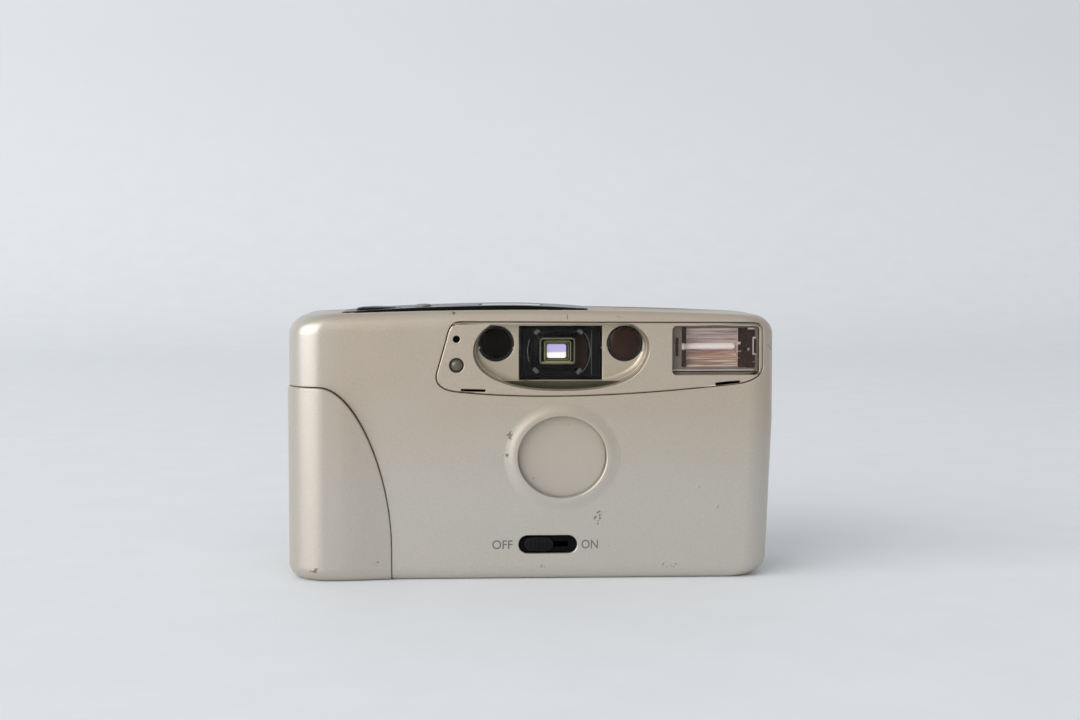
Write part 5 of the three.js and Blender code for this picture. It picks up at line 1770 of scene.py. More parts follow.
@dataclass
class WindowPanel:
    """The silver panel across the top of the face, with the dish for the optics."""

    shop: Workshop
    recess: float = 0.2
    floor: float = 3.4
    eye_radius: float = 4.1
    eye_steps: int = 72
    rim: float = 0.42
    painted_shade_from: Point = (1.55, 49.0)

    def build(self) -> None:
        """Builds the panel and what sits in it."""
        self.plate()
        self.window()
        for node, look in (("af_lens_left", Look.DARK_GLASS), ("af_lens_right", Look.RED_GLASS)):
            self.eye(node, look)
        self.beads()

    @staticmethod
    def outline() -> list[Point]:
        """Draws the panel as seen from the front.

        Returns:
            The outline's points.
        """
        left, right, top = -23.4, 57.1, 63.5
        drawn = Outline(left + 6.4, top)
        drawn.curve((left + 3.8, top), (left + 3.2, top - 1.6), (left + 2.6, top - 4.4))
        start, knee, far = (left + 5.6, top - 17.1), (9.0, top - 20), (right - 5.8, top - 15.2)
        drawn.line(left + 0.3, top - 12.4)
        drawn.curve((left - 0.6, top - 15.8), (left + 2.8, top - 16.9), start)
        drawn.curve(
            tuple(s + 2 / 3 * (k - s) for s, k in zip(start, knee)),
            tuple(f + 2 / 3 * (k - f) for f, k in zip(far, knee)),
            far, 24,
        )
        drawn.curve((right - 2.3, top - 14.6), (right, top - 13.2), (right, top - 10.9))
        drawn.line(right, top - 2.7)
        drawn.curve((right, top - 1.1), (right - 1.2, top - 0.3), (right - 3, top - 0.3))
        return drawn.points

    @staticmethod
    def dish_outline() -> list[Point]:
        """Draws the dish as seen from the front.

        Returns:
            The outline's points.
        """
        x, top = Span.of("viewfinder_housing").middle.x, 62.8
        drawn = Outline(x - 17.2, top)
        drawn.curve((x - 22.6, top - 3), (x - 22.8, top - 9), (x - 18.6, top - 12), 16)
        drawn.curve((x - 14.4, top - 15.2), (x - 7.4, top - 16.2), (x, top - 16.2), 16)
        drawn.curve((x + 10.6, top - 16.2), (x + 16.6, top - 14.6), (x + 19.6, top - 11), 20)
        drawn.curve((x + 23, top - 6.4), (x + 22.2, top - 2.4), (x + 17.6, top), 16)
        return drawn.points

    def dish(self) -> Object:
        """Makes the dish's hollow: a straight rim for the window, then a wall that curves in.

        Returns:
            The closed solid.
        """
        rows = (
            (-1, 1, 1), (1.45, 1, 1), (1.5, 0.985, 0.985), (2.0, 0.98, 0.97), (2.5, 0.97, 0.945),
            (2.9, 0.957, 0.915), (3.2, 0.945, 0.885), (self.floor, 0.93, 0.86),
        )
        levels = [(self.shop.front + depth, wide, tall) for depth, wide, tall in rows]
        return stack(
            self.dish_outline(), levels, Along.Y, (Span.of("viewfinder_housing").middle.x, 62.6)
        )

    def plate(self) -> None:
        """Builds the panel itself."""
        shop, front, form = self.shop, self.shop.front, BodyForm(self.shop)
        ends = (front - 1, front + 6)
        piece = prism(self.outline(), front - 1, shop.inner_front)
        keep(piece, form.solid(self.recess, 10))
        settled(eased(cleaned(piece), self.rim, 4, 34))
        wide = grown(self.dish_outline(), 0.9)
        pan = prism(wide, shop.inner_front - 0.5, front + self.floor + 1)
        keep(pan, form.solid(shop.wall + shop.gap, 5), prism(grown(self.outline(), -0.35), *ends))
        add(piece, pan)
        cut(piece, self.dish(), prism(Span.of("flash_window").outline(1.1, 8, 0.1), *ends))
        for node in ("af_lens_left", "af_lens_right"):
            eye = Span.of(node).from_front
            cut(piece, rod(self.eye_radius + 0.3, eye, *ends, steps=self.eye_steps))
        finder, gap = Span.of("viewfinder_housing"), Vector((0.3, 0, 0.3))
        low, high = finder.low - gap, finder.high + gap
        cut(piece, block((low.x, -FAR, low.z), (high.x, 0, high.z)))
        for node, radius in (("timer_lamp", 1.78), ("light_sensor", 0.85)):
            cut(piece, rod(radius, Span.of(node).from_front, front - 3, 0, steps=40))
        for x, z, tilt in ((-14.2, 46.75, 1.5), (48.5, 48.35, -6.0)):
            slit = block((-3, -0.6, -0.28), (3, 2.0, 0.28))
            moved(slit, (x, front + self.recess, z), tilt)
            cut(piece, slit)
        # Painted shade on the dish's lower wall, from this depth and under this height.
        dim, low = self.painted_shade_from
        paint = SatinPaint("panel_paint", rgb(190, 184, 173), painted_wall_shade=(front + dim, low))
        nodes = (
            "af_lens_left", "af_lens_right", "timer_lamp", "light_sensor", "viewfinder_housing",
            "flash_window",
        )
        shop.dress(
            piece, "front_panel", Look.SILVER, nodes=["window_panel"], rounding=0.22, segments=3,
            angle=40, through=[Span.of(node).front_hole for node in nodes], finish=paint,
        )

    def window(self) -> None:
        """Builds the clear window over the dish, with a rounded rim."""
        front = self.shop.front
        self.shop.dress(
            pillow(grown(self.dish_outline(), -0.25), front + 0.1, front + 1.3, 0.45),
            "dish_window", Look.CLEAR, nodes=["clear_window"], rounding=0,
            finish=ClearPlastic("dish_window_plastic", (0.985, 0.985, 0.97, 1.0)),
        )

    def eye(self, node: str, look: Look) -> None:
        """Builds a focusing lens and the ring round it.

        Args:
            node: The lens's node.
            look: Its look.
        """
        span, r = Span.of(node), self.eye_radius
        face, deep = span.low.y, span.high.y
        dome = ((0, 0), (1.2, 0.02), (2.4, 0.12), (3.2, 0.27), (r - 0.35, 0.45))
        profile = [*((out, face + depth) for out, depth in dome), (r - 0.35, deep), (0, deep)]
        lens = turned(profile, span.from_front, steps=self.eye_steps)
        self.shop.dress(lens, f"{node}_glass", look, nodes=[node], rounding=0, angle=40)
        inner, outer = r - 0.3, r + 0.05
        profile = [
            (inner, face + 0.5), (r - 0.15, face + 0.35), (outer, face + 0.42), (outer, deep),
            (inner, deep), (inner, face + 0.5),
        ]
        ring = turned(profile, span.from_front, steps=self.eye_steps)
        self.shop.dress(ring, f"{node}_ring", Look.BLACK, rounding=0.04)

    def beads(self) -> None:
        """Builds the timer lamp in its cup, and the light sensor."""
        shop, lamp, sensor = self.shop, Span.of("timer_lamp"), Span.of("light_sensor")
        low, high, r = lamp.low.y, lamp.high.y, 1.6
        dome = turned(
            [(0, low), (0.5, low + 0.05), (0.95, low + 0.2), (1.3, low + 0.45), (r, low + 0.8),
             (r, high), (0, high)], lamp.from_front, steps=48,
        )
        shop.dress(
            dome, "timer_lamp_dome", Look.CLEAR, nodes=["timer_lamp"], rounding=0,
            finish=MouldedPlastic("smoked_lamp", (0.085, 0.075, 0.055, 1.0), 0.16, 0.7, 0.02, 0.3),
        )
        cup = turned(
            [(1.62, low + 0.6), (1.72, low + 0.5), (1.72, high), (1.62, high), (1.62, low + 0.6)],
            lamp.from_front, steps=48,
        )
        shop.dress(cup, "timer_lamp_cup", Look.BLACK, rounding=0.03)
        low, high, r = sensor.low.y, sensor.high.y, 0.6
        profile = [(0, low), (0.35, low + 0.06), (r, low + 0.25), (r, high), (0, high)]
        bead = turned(profile, sensor.from_front, steps=32)
        shop.dress(bead, "light_sensor_bead", Look.DARK_GLASS, nodes=["light_sensor"], rounding=0)


# ---------------------------------------------------------------- viewfinder

FROSTED = MouldedPlastic("frosted_edge", (0.085, 0.088, 0.082, 1.0), 0.5, 0.4, sheen=0.3)


@dataclass
class Viewfinder:
    """The black finder block, its lens, the frames inside and the eyepiece."""

    shop: Workshop
    slant: float = 3.0
    pads: tuple[Point, ...] = ((1.5, 60.95), (12.2, 60.95), (11.9, 51.15), (1.2, 51.4))
    feet: tuple[Point, ...] = ((-2.1, 48.75), (17.0, 49.1))
    rim: Point = (7.65, 7.85)
    room: Point = (7.4, 5.9)
    mouth: Point = (6.8, 4.8)

    def build(self) -> None:
        """Builds the finder."""
        self.span = Span.of("viewfinder_housing")
        self.front = self.span.low.y
        self.housing()
        self.lens()
        self.side()
        self.marks()
        self.frames()
        self.eyepiece()

    def housing(self) -> None:
        """Builds the block, with a bordered face, the lens's room and the tunnel."""
        low, high, front = self.span.low, self.span.high, self.front
        x, z = self.span.middle.x, self.span.middle.z
        piece = prism(self.span.outline(0.6, 5), low.y, high.y)
        face = ((low.x + 0.55, high.x - 0.4), (low.z + 0.45, high.z - 0.75))
        cut(piece, slab(*face, (front - 1, front + 0.3), 0.5, 5))
        radius, half = self.room
        room = rod(radius, (x - 0.5, 0, z), front - 1, front + 2.2, steps=96)
        cut(piece, keep(room, block((low.x, front - 1, z - half), (high.x, 0, z + half))))
        eye = Span.of("eyepiece_lens").middle
        wide, tall = self.mouth
        signs = ((-1, -1), (1, -1), (1, 1), (-1, 1))
        near = [(x + side * wide, z + end * tall) for side, end in signs]
        tunnel = stack(near, [(front + 2, 1, 1), (front + 9, 0.95, 0.9)], Along.Y, (x, z))
        throat = ((eye.x - 4.5, eye.x + 4.5), (eye.z - 2.9, eye.z + 1.7))
        cut(piece, tunnel, slab(*throat, (front + 8, high.y + 1), 0.4, 3))
        self.shop.dress(
            piece, "finder_block", Look.GLOSS, nodes=["viewfinder_housing"], rounding=0.1,
            angle=40, through=[self.span.front_hole],
        )

    def lens(self) -> None:
        """Builds the front lens."""
        span = Span.of("viewfinder_objective")
        x, z, low, high = span.middle.x, span.middle.z, span.low.y, span.high.y
        dome = ((0, 0), (2.4, 0.08), (4.6, 0.35), (6.2, 0.75), (7.1, 1.05))
        profile = [*((out, low + depth) for out, depth in dome), (7.1, high), (0, high)]
        lens = turned(profile, span.from_front, steps=96)
        keep(lens, block((x - 9, low - 1, z - 5.6), (x + 9, high + 1, z + 5.6)))
        self.shop.dress(
            lens, "finder_objective", Look.CLEAR, nodes=["viewfinder_objective"], rounding=0,
            angle=50, finish=ClearPlastic("finder_lens_plastic", (0.98, 0.98, 0.96, 1.0)),
        )

    def side(self) -> None:
        """Builds the dark brown wall along the tunnel's right side."""
        z, near, far = Span.of("viewfinder_objective").middle.z, self.front + 2.3, self.front + 8.9
        wall = [(14.1, near), (14.1, near + 0.3), (11.7, far), (11.3, far)]
        self.shop.dress(
            prism(wall, z - 4.5, z + 4.5, Along.Z), "finder_side", Look.CLEAR, rounding=0.05,
            finish=MouldedPlastic("amber_side", (0.03, 0.015, 0.011, 1.0), 0.4, 2.5, sheen=0.2),
        )

    def marks(self) -> None:
        """Builds the painted highlight arcs on the lens's rim, its frosted pads, its edge and its
        feet.
        """
        shop, front = self.shop, self.front
        middle = Span.of("viewfinder_objective").middle
        # Painted highlights: grey arcs on the left and right of the lens's rim stand in for the
        # light it catches there.
        rim_highlight = MouldedPlastic("rim_arc", (0.07, 0.07, 0.075, 1.0), 0.3, 0.4)
        for number, (start, end) in enumerate(((-42, 34), (158, 200)), 1):
            arc = self.arc(middle.x + 0.1, middle.z + 0.4, start, end)
            shop.dress(arc, f"finder_rim_arc_{number}", Look.CLEAR, rounding=0.04, finish=rim_highlight)
        for number, (x, z) in enumerate(self.pads, 1):
            pad = block((-0.75, -0.1, -0.5), (0.75, 0.25, 0.5))
            slope = (x - middle.x) * (z - middle.z)
            moved(pad, (x, front + 0.1, z), 45 if slope > 0 else -45)
            shop.dress(pad, f"finder_pad_{number}", Look.CLEAR, rounding=0.1, finish=FROSTED)
        line = block((14.9, front + 0.1, 50.3), (15.05, front + 0.35, 61.9))
        shop.dress(line, "finder_clear_edge", Look.CLEAR, rounding=0.04, finish=FROSTED)
        for number, (x, z) in enumerate(self.feet, 1):
            foot = block((x - 0.22, front - 0.3, z - 0.18), (x + 0.22, front, z + 0.18))
            shop.dress(foot, f"finder_foot_{number}", Look.CLEAR, rounding=0.1, finish=FROSTED)

    def arc(self, x: float, z: float, start: float, end: float, steps: int = 20) -> Object:
        """Makes a thin raised arc round the lens.

        Args:
            x: The arc's centre, along X.
            z: The arc's centre, up.
            start: Where it starts, in degrees.
            end: Where it ends, in degrees.
            steps: The facets in it.

        Returns:
            The closed solid.
        """
        turns = [radians(start + (end - start) * step / steps) for step in range(steps + 1)]
        inner, outer = (
            [(x + radius * cos(turn), z + radius * sin(turn)) for turn in turns]
            for radius in self.rim
        )
        return prism(outer + inner[::-1], self.front + 0.02, self.front + 0.35)

    def frames(self) -> None:
        """Builds the frames, the bars and the image pane inside the tunnel, glowing with painted
        light.
        """
        shop, front, z = self.shop, self.front, self.span.middle.z
        # Painted light: the frames, bars and image pane glow in place of the light that comes
        # through the finder.
        dull = Glow("finder_frame_glow", (0.1, 0.097, 0.085, 1), (0.1, 0.097, 0.08, 1), z, 0.5)
        lit = Glow("finder_inner_glow", (0.2, 0.19, 0.085, 1), (0.23, 0.215, 0.1, 1), z, 0.6)
        for name, half_x, half_z, thick, deep, x, z, finish in (
            ("finder_outer_frame", 4.4, 3.25, 0.34, 3.2, 6.55, 56.15, dull),
            ("finder_inner_frame", 3.35, 2.62, 0.2, 4.6, 6.6, 56.1, lit),
            ("finder_step_frame", 2.95, 2.25, 0.3, 5.4, 6.5, 56.1, dull),
        ):
            shift = deep * tan(radians(self.slant))
            x, z, start, end = x + shift, z - shift, front + deep, front + deep + 0.4
            outer = rounded(x - half_x, x + half_x, z - half_z, z + half_z, 0.7, 5)
            piece = prism(outer, start, end)
            cut(piece, prism(grown(outer, -thick), start - 1, end + 1))
            shop.dress(piece, name, Look.CLEAR, rounding=0.05, finish=finish)
        for name, height in (("finder_frame_top", 59.15), ("finder_frame_bottom", 53.2)):
            bar = block((2.9, front + 3.2, height - 0.13), (10.5, front + 3.6, height + 0.13))
            shop.dress(bar, name, Look.CLEAR, rounding=0.05, finish=lit)
        shift = 6.0 * tan(radians(self.slant))
        outline = rounded(3.94 + shift, 8.76 + shift, 54.4 - shift, 57.9 - shift, 0.5, 6)
        view = Glow("finder_image", rgb(168, 160, 208), rgb(236, 230, 236), 55.8 - shift, 0.9)
        pane = pillow(outline, front + 6.0, front + 6.5, 0.2)
        shop.dress(pane, "finder_image_pane", Look.CLEAR, rounding=0, finish=view)

    def eyepiece(self) -> None:
        """Builds the eyepiece's frame and its lens."""
        shop, span = self.shop, Span.of("eyepiece_lens")
        shop.dress(
            shop.copy("eyepiece_frame"), "eyepiece_bezel", Look.BLACK, nodes=["eyepiece_frame"],
            rounding=0.35, segments=3, angle=40,
        )
        shop.dress(
            prism(span.outline(0.8, 5), span.low.y, span.high.y), "eyepiece_glass", Look.CLEAR,
            nodes=["eyepiece_lens"], rounding=0.25, segments=3,
        )


# ---------------------------------------------------------------- flash

BROWN = MouldedPlastic("brown_holder", (0.024, 0.01, 0.0065, 1.0), 0.32, 0.5, 0.03, sheen=0.2)
PALE = MouldedPlastic("pale_clip", (0.5, 0.47, 0.44, 1.0), 0.3, 0.5, 0.01)


@dataclass
class Flash:
    """The flash: a clear window, a mirror with painted striped reflections, its tube and the brown
    holders.
    """

    shop: Workshop
    facets: tuple[Point, ...] = (
        (4.75, 0.15), (4.35, 0.9), (4.2, 1.0), (3.3, 2.3), (3.15, 2.2), (2.2, 3.2), (1.9, 3.3),
        (1.7, 3.9), (0.6, 4.25), (-0.7, 4.25), (-1.6, 3.95), (-1.75, 3.7), (-2.3, 3.3),
        (-2.4, 3.1), (-2.9, 2.8), (-3.0, 2.6), (-3.6, 2.1), (-3.7, 1.9), (-4.3, 1.35),
        (-4.4, 1.15), (-5.0, 0.35),
    )
    mouth: float = 0.4
    tube_radius: float = 0.8

    def build(self) -> None:
        """Builds the flash."""
        self.window()
        self.tray()
        self.mirror()
        self.tube()
        self.lip()
        self.holders()

    def window(self) -> None:
        """Builds the clear window, hollow behind its face."""
        shop, span = self.shop, Span.of("flash_window")
        low, high, front = span.low, span.high, self.shop.front
        piece = prism(span.outline(1.0, 8), front - 1, high.y)
        keep(piece, BodyForm(shop).solid(0.1, 10))
        hollow = ((low.x + 1.3, high.x - 0.8), (low.z + 1.1, high.z - 0.5))
        cut(piece, slab(*hollow, (front + 0.95, high.y + 1), 0.5, 5))
        shop.dress(
            piece, "flash_glass", Look.CLEAR, nodes=["flash_window"], rounding=0.25, segments=3,
            angle=40, finish=ClearPlastic("flash_window_plastic", (0.975, 0.965, 0.955, 1.0), 0.02),
        )

    def tray(self) -> None:
        """Builds the smoked frame between the window and the mirror."""
        span, front = Span.of("flash_window"), self.shop.front + 1.75
        low, high = span.low, span.high
        piece = prism(span.outline(0.9, 6, -0.1), front, front + 0.12)
        hole = ((low.x + 2.3, high.x - 0.9), (low.z + 1.75, high.z - 0.5))
        cut(piece, slab(*hole, (front - 1, front + 1), 0.4, 4))
        smoke = MouldedPlastic("smoked_tray", (0.17, 0.14, 0.115, 1.0), 0.3, 0.8, 0.01, sheen=0.3)
        self.shop.dress(
            piece, "flash_tray", Look.CLEAR, rounding=0.03, finish=smoke,
            through=[span.front_hole],
        )

    def mirror(self) -> None:
        """Builds the trough of flat facets and fine steps."""
        span, tube = Span.of("flash_reflector"), Span.of("flash_tube")
        middle, start = tube.middle.z, span.low.y
        section = [(start + deep, middle + up) for up, deep in self.facets]
        section.insert(0, (start - self.mouth, section[0][1]))
        section.append((start - self.mouth, section[-1][1]))
        piece = block(span.low, span.high)
        cut(piece, prism(section, tube.low.x + 0.9, tube.high.x + 0.5, Along.X))
        self.shop.dress(
            piece, "flash_mirror", Look.REFLECTOR, nodes=["flash_reflector"], rounding=0.03,
            angle=14, finish=FoilMirror("flash_foil", middle),
        )

    def tube(self) -> None:
        """Builds the tube, with rounded ends."""
        span, r, cap = Span.of("flash_tube"), self.tube_radius, 0.5
        low, high, middle = span.low.x, span.high.x, span.middle
        profile = [(0, low), (cap, low), (r, low + cap), (r, high - cap), (cap, high), (0, high)]
        # The tube's glow is a painted highlight; the tube is no lamp.
        self.shop.dress(
            turned(profile, (0, middle.y, middle.z), Along.X, 32), "flash_tube_glass", Look.CLEAR,
            nodes=["flash_tube"], rounding=0,
            finish=Glow("tube_painted_highlight", rgb(225, 214, 212), rgb(232, 226, 226), middle.z, 0.08),
        )

    def lip(self) -> None:
        """Builds the pale lip under the mirror and the dark line below it, a painted shadow."""
        low = Span.of("flash_reflector").low
        near, far = low.y - 0.42, low.y - 0.2
        pale = MouldedPlastic("pale_lip", (0.62, 0.6, 0.57, 1.0), 0.3, 0.5, 0.01)
        piece = block((low.x - 2.3, near, 51.4), (54.9, far, 51.62))
        self.shop.dress(piece, "flash_lip", Look.CLEAR, rounding=0.05, finish=pale)
        # A black strip as painted shadow under the lip.
        line = block((low.x - 1.6, near, 51.12), (55.6, far, 51.3))
        self.shop.dress(line, "flash_lip_shadow", Look.BLACK, rounding=0.03)

    def holders(self) -> None:
        """Builds the brown holders at the tube's ends and the clip beside them.

        Each row has the piece's left, right, foot and top, its notches in the same order as
        left, right, foot and top, and its finish.
        """
        front = Span.of("flash_reflector").low.y - 0.45
        for name, x0, x1, z0, z1, bites, finish in (
            ("flash_side_bar", 35.65, 36.2, 54.9, 59.5, (), BROWN),
            ("tube_holder_left", 37.15, 38.2, 52.3, 62.1, ((37.0, 38.4, 56.5, 58.1),), BROWN),
            ("tube_holder_right", 51.0, 53.35, 52.2, 61.9, (
                (50.8, 51.7, 57.8, 58.5), (50.8, 51.9, 56.0, 56.3), (50.8, 51.5, 54.4, 54.6),
            ), BROWN),
            ("clip_holder", 53.45, 55.2, 52.1, 61.5, (
                (53.3, 53.9, 56.3, 56.9), (54.6, 55.4, 55.2, 59.7), (54.7, 55.4, 53.4, 53.7),
            ), BROWN),
            ("clip_cap", 53.55, 54.9, 61.55, 61.95, (), PALE),
            ("clip_frame", 54.65, 55.5, 55.3, 59.6, ((54.9, 55.6, 55.6, 59.3),), PALE),
            ("clip_core", 55.0, 55.5, 55.65, 59.25, (), BROWN),
        ):
            radius = min(0.2, (x1 - x0) / 3)
            piece = slab((x0, x1), (z0, z1), (front, front + 0.4), radius, 3)
            for left, right, low, high in bites:
                cut(piece, block((left, front - 1, low), (right, front + 2, high)))
            self.shop.dress(piece, name, Look.BLACK, rounding=0.06, finish=finish)


# ---------------------------------------------------------------- lens cover and switch


@dataclass
class LensAndSwitch:
    """The lens cover, the power switch and the words beside it."""

    shop: Workshop
    pivot: Point = (4.35, 12.1)
    pin: float = 1.85
    radius: float = 11.3
    ribs: int = 8
    pitch: float = 0.66
    knob_half: float = 3.6
    lever: float = 0.9
    boss: Point = (1.5, 2.6)

    def build(self) -> None:
        """Builds the cover, the switch and its words."""
        self.cover()
        self.plate()
        self.knob()
        self.word("OFF", -7.15, 5.0)
        self.word("ON", 14.35, 4.05)

    def limb(self, along: Vector, start: Point, end: Point) -> list[Point]:
        """Draws a strip from the pivot, along a direction.

        Args:
            along: The direction.
            start: How far out it starts, and half its width there.
            end: How far out it ends, and half its width there.

        Returns:
            The strip's outline.
        """
        across, post = Vector((-along.y, along.x)), Vector(self.pivot)
        rows = (start, (start[0], -start[1]), (end[0], -end[1]), end)
        return [tuple(post + along * far + across * wide) for far, wide in rows]

    def cover(self) -> None:
        """Builds the cover: a faintly domed disc on the forked lever that swings it."""
        shop, span, r = self.shop, Span.of("lens_cover"), self.radius
        face, deep, post = span.low.y, span.high.y, (self.pivot[0], 0, self.pivot[1])
        lever, (bore, boss) = deep - self.lever, self.boss
        dome = ((0, 0), (r - 2.0, 0.03), (r - 0.7, 0.1), (r - 0.25, 0.2), (r, 0.5), (r, 1), (0, 1))
        profile = [(out, face + depth) for out, depth in dome]
        piece = turned(profile, (shop.lens.x, 0, shop.lens.z), steps=144)
        arm = Vector((shop.lens.x, shop.lens.z)) - Vector(self.pivot)
        stretched = self.limb(arm, (0, 2.2 / arm.length), (0.75, 4 / arm.length))
        add(piece, prism(stretched, lever - 0.1, deep), rod(boss, post, lever, deep))
        down = Vector((self.pin, Span.of("switch_bezel").middle.z)) - Vector(self.pivot)
        down.normalize()
        add(piece, prism(self.limb(down, (0, 2.3), (5.4, 2.3)), lever, deep))
        cut(piece, prism(self.limb(down, (2.3, 1.15), (7, 1.15)), lever - 0.4, deep + 0.4))
        cut(piece, rod(bore, post, lever - 1, deep + 1))
        paint = SatinPaint(
            "lens_cover_paint", rgb(186, 178, 167), metallic=0.5, roughness=0.42,
            scuffs=(Scuff(1.2, 27.0, 2.6, 0.25, 0.5), Scuff(9.5, 38.0, 1.0, 0.2)),
        )
        shop.dress(
            piece, "lens_cover_disc", Look.SILVER, "lens_cover", ["lens_cover"], rounding=0.08,
            angle=44, finish=paint, through=[(post[0], None, post[2])],
        )

    def plate(self) -> None:
        """Builds the sunk plate that the knob slides in."""
        shop, slot, inner = self.shop, Span.of("switch_bezel"), self.shop.inner_front
        low, high, z = slot.low, slot.high, slot.middle.z
        base = slab((low.x + 0.2, high.x - 0.2), (low.z, high.z), (low.y, inner + 0.3), 1.9, 12)
        for x in (low.x, high.x - 2.4):
            add(base, block((x, inner + 0.1, z - 1.8), (x + 2.4, inner + 0.8, z + 1.8)))
        cut(base, block((self.pin - 2.4, -FAR, z - 0.7), (self.pin + 7.2, 0, z + 0.7)))
        shop.dress(
            base, "switch_plate", Look.BLACK, nodes=["switch_bezel"], rounding=0.12,
            finish=MouldedPlastic(
                "switch_black", (0.004, 0.004, 0.0044, 1.0), 0.4, 0.4, 0.006, sheen=0.04
            ),
            through=[(self.pin + 2.4, None, z)],
        )

    def knob(self) -> None:
        """Builds the ribbed knob, with the flange and the pin behind the plate."""
        slot, span, x = Span.of("switch_bezel"), Span.of("power_slider"), self.pin
        front, plate, z = span.low.y, slot.low.y, slot.middle.z
        half, flange = self.knob_half, self.shop.inner_front + 0.6
        outline = rounded(x - half, x + half, z - 1.75, z + 1.75, 1.7, 10)
        knob = pillow(outline, front + 0.2, plate - 0.3, 0.3)
        for number in range(self.ribs):
            rib = x - 2.35 + number * self.pitch
            sides = ((rib - 0.17, rib + 0.17), (z - 1.5, z + 1.5))
            add(knob, slab(*sides, (front, front + 0.4), 0.12, 3))
        add(
            knob, block((x - 2, plate - 0.5, z - 0.6), (x + 2, flange + 0.2, z + 0.6)),
            block((x - 3, flange, z - 1.6), (x + 3, flange + 0.5, z + 1.6)),
            rod(0.8, (x, 0, z), flange + 0.3, span.high.y),
        )
        self.shop.dress(
            knob, "switch_knob", Look.BLACK, "power_slider", ["power_slider"], rounding=0.06,
            finish=MouldedPlastic(
                "knob_black", (0.004, 0.004, 0.0045, 1.0), 0.3, 0.4, 0.006, sheen=0.16
            ),
        )

    def word(self, text: str, x: float, width: float, z: float = 8.7, height: float = 2.2) -> None:
        """Prints a word on the face as a thin raised film.

        Args:
            text: The word.
            x: The middle of the word.
            width: The word's width.
            z: The middle of its height.
            height: The letters' height.
        """
        curve = bpy.data.curves.new("word", "FONT")
        curve.body = text
        curve.size = 3.0
        curve.align_x, curve.align_y = "CENTER", "CENTER"
        curve.offset = 0.006 * curve.size
        curve.resolution_u = 8
        curve.extrude = 0.02
        written = bpy.data.objects.new("word", curve)
        bpy.context.scene.collection.objects.link(written)
        bpy.context.view_layer.update()
        graph = bpy.context.evaluated_depsgraph_get()
        mesh = bpy.data.meshes.new_from_object(written.evaluated_get(graph))
        bpy.data.objects.remove(written)
        bpy.data.curves.remove(curve)
        bm = bmesh.new()
        bm.from_mesh(mesh)
        bpy.data.meshes.remove(mesh)
        low, high = min(v.co.x for v in bm.verts), max(v.co.x for v in bm.verts)
        base, top = min(v.co.y for v in bm.verts), max(v.co.y for v in bm.verts)
        centre = Matrix.Translation((-(low + high) / 2, -(base + top) / 2, 0))
        fit = Matrix.Diagonal((width / (high - low), height / (top - base), 1, 1))
        place = Matrix.Translation((x, self.shop.front - 0.005, z))
        turn = place @ Matrix.Rotation(pi / 2, 4, "X")
        bmesh.ops.transform(bm, matrix=turn @ fit @ centre, verts=bm.verts)
        word = text.lower()
        self.shop.dress(
            to_object(bm), f"word_{word}", Look.GREY, rounding=0,
            finish=MouldedPlastic(f"grey_print_{word}", (0.12, 0.115, 0.11, 1.0), 0.55, 0.2, 0.01),
        )


# ---------------------------------------------------------------- top controls


@dataclass
class TopDeck:
    """The black top pad, its two buttons and the frame counter."""

    shop: Workshop

    def build(self) -> None:
        """Builds the top controls."""
        for node, name, look, rounding, angle in (
            ("top_cover", "top_pad", Look.GLOSS, 0.35, 40.0),
            ("counter_window", "counter_glass", Look.DISPLAY, 0.2, 32.0),
        ):
            self.shop.dress(
                self.shop.copy(node), name, look, nodes=[node], rounding=rounding, segments=3,
                angle=angle,
            )
        release = (
            (-0.0, -0.8), (-0.15, -0.5), (-0.5, -0.32), (-1.1, -0.18), (-1.2, -0.3),
            (-1.45, -0.3), (-1.55, -0.14),
        )
        crown = ((2.6, -0.04), (1.6, -0.1), (0, -0.16))
        self.button("shutter_button", "release_button", Look.GLOSS, 1.2, release, crown, 96, 50.0)
        edge = ((-0.0, -0.45), (-0.12, -0.2), (-0.45, -0.02))
        dimple = ((1.1, 0.0), (0.6, -0.12), (0, -0.16))
        self.button("mode_button", "mode_key", Look.GREY, 0.8, edge, dimple, 48, 32.0)

    def button(
        self, node: str, name: str, look: Look, stem: float, edge: Sequence[Point],
        crown: Sequence[Point], steps: int, angle: float,
    ) -> None:
        """Turns a button on its stem.

        Args:
            node: The CAD node, which is also its body.
            name: The piece's name.
            look: Its look.
            stem: The stem's radius.
            edge: Points of the cap from its rim inwards, counted from its rim and its top.
            crown: Points of the cap's middle, as a radius and a height from its top.
            steps: The number of flats.
            angle: Edges sharper than this many degrees stay sharp.
        """
        span = Span.of(node)
        low, high, r = span.low.z, span.high.z, (span.high.x - span.low.x) / 2
        foot = Span.of("top_cover").low.z + 0.4
        profile = [(0, low), (stem, low), (stem, foot), (r, foot)]
        profile += [(r + out, high + up) for out, up in edge]
        profile += [(out, high + up) for out, up in crown]
        piece = turned(profile, span.from_top, Along.Z, steps)
        self.shop.dress(piece, name, look, node, [node], rounding=0, angle=angle)


# ---------------------------------------------------------------- works inside


@dataclass(frozen=True)
class Inner:
    """How one CAD node inside the camera is finished."""

    node: str
    rounding: float = 0.08
    angle: float = 38.0


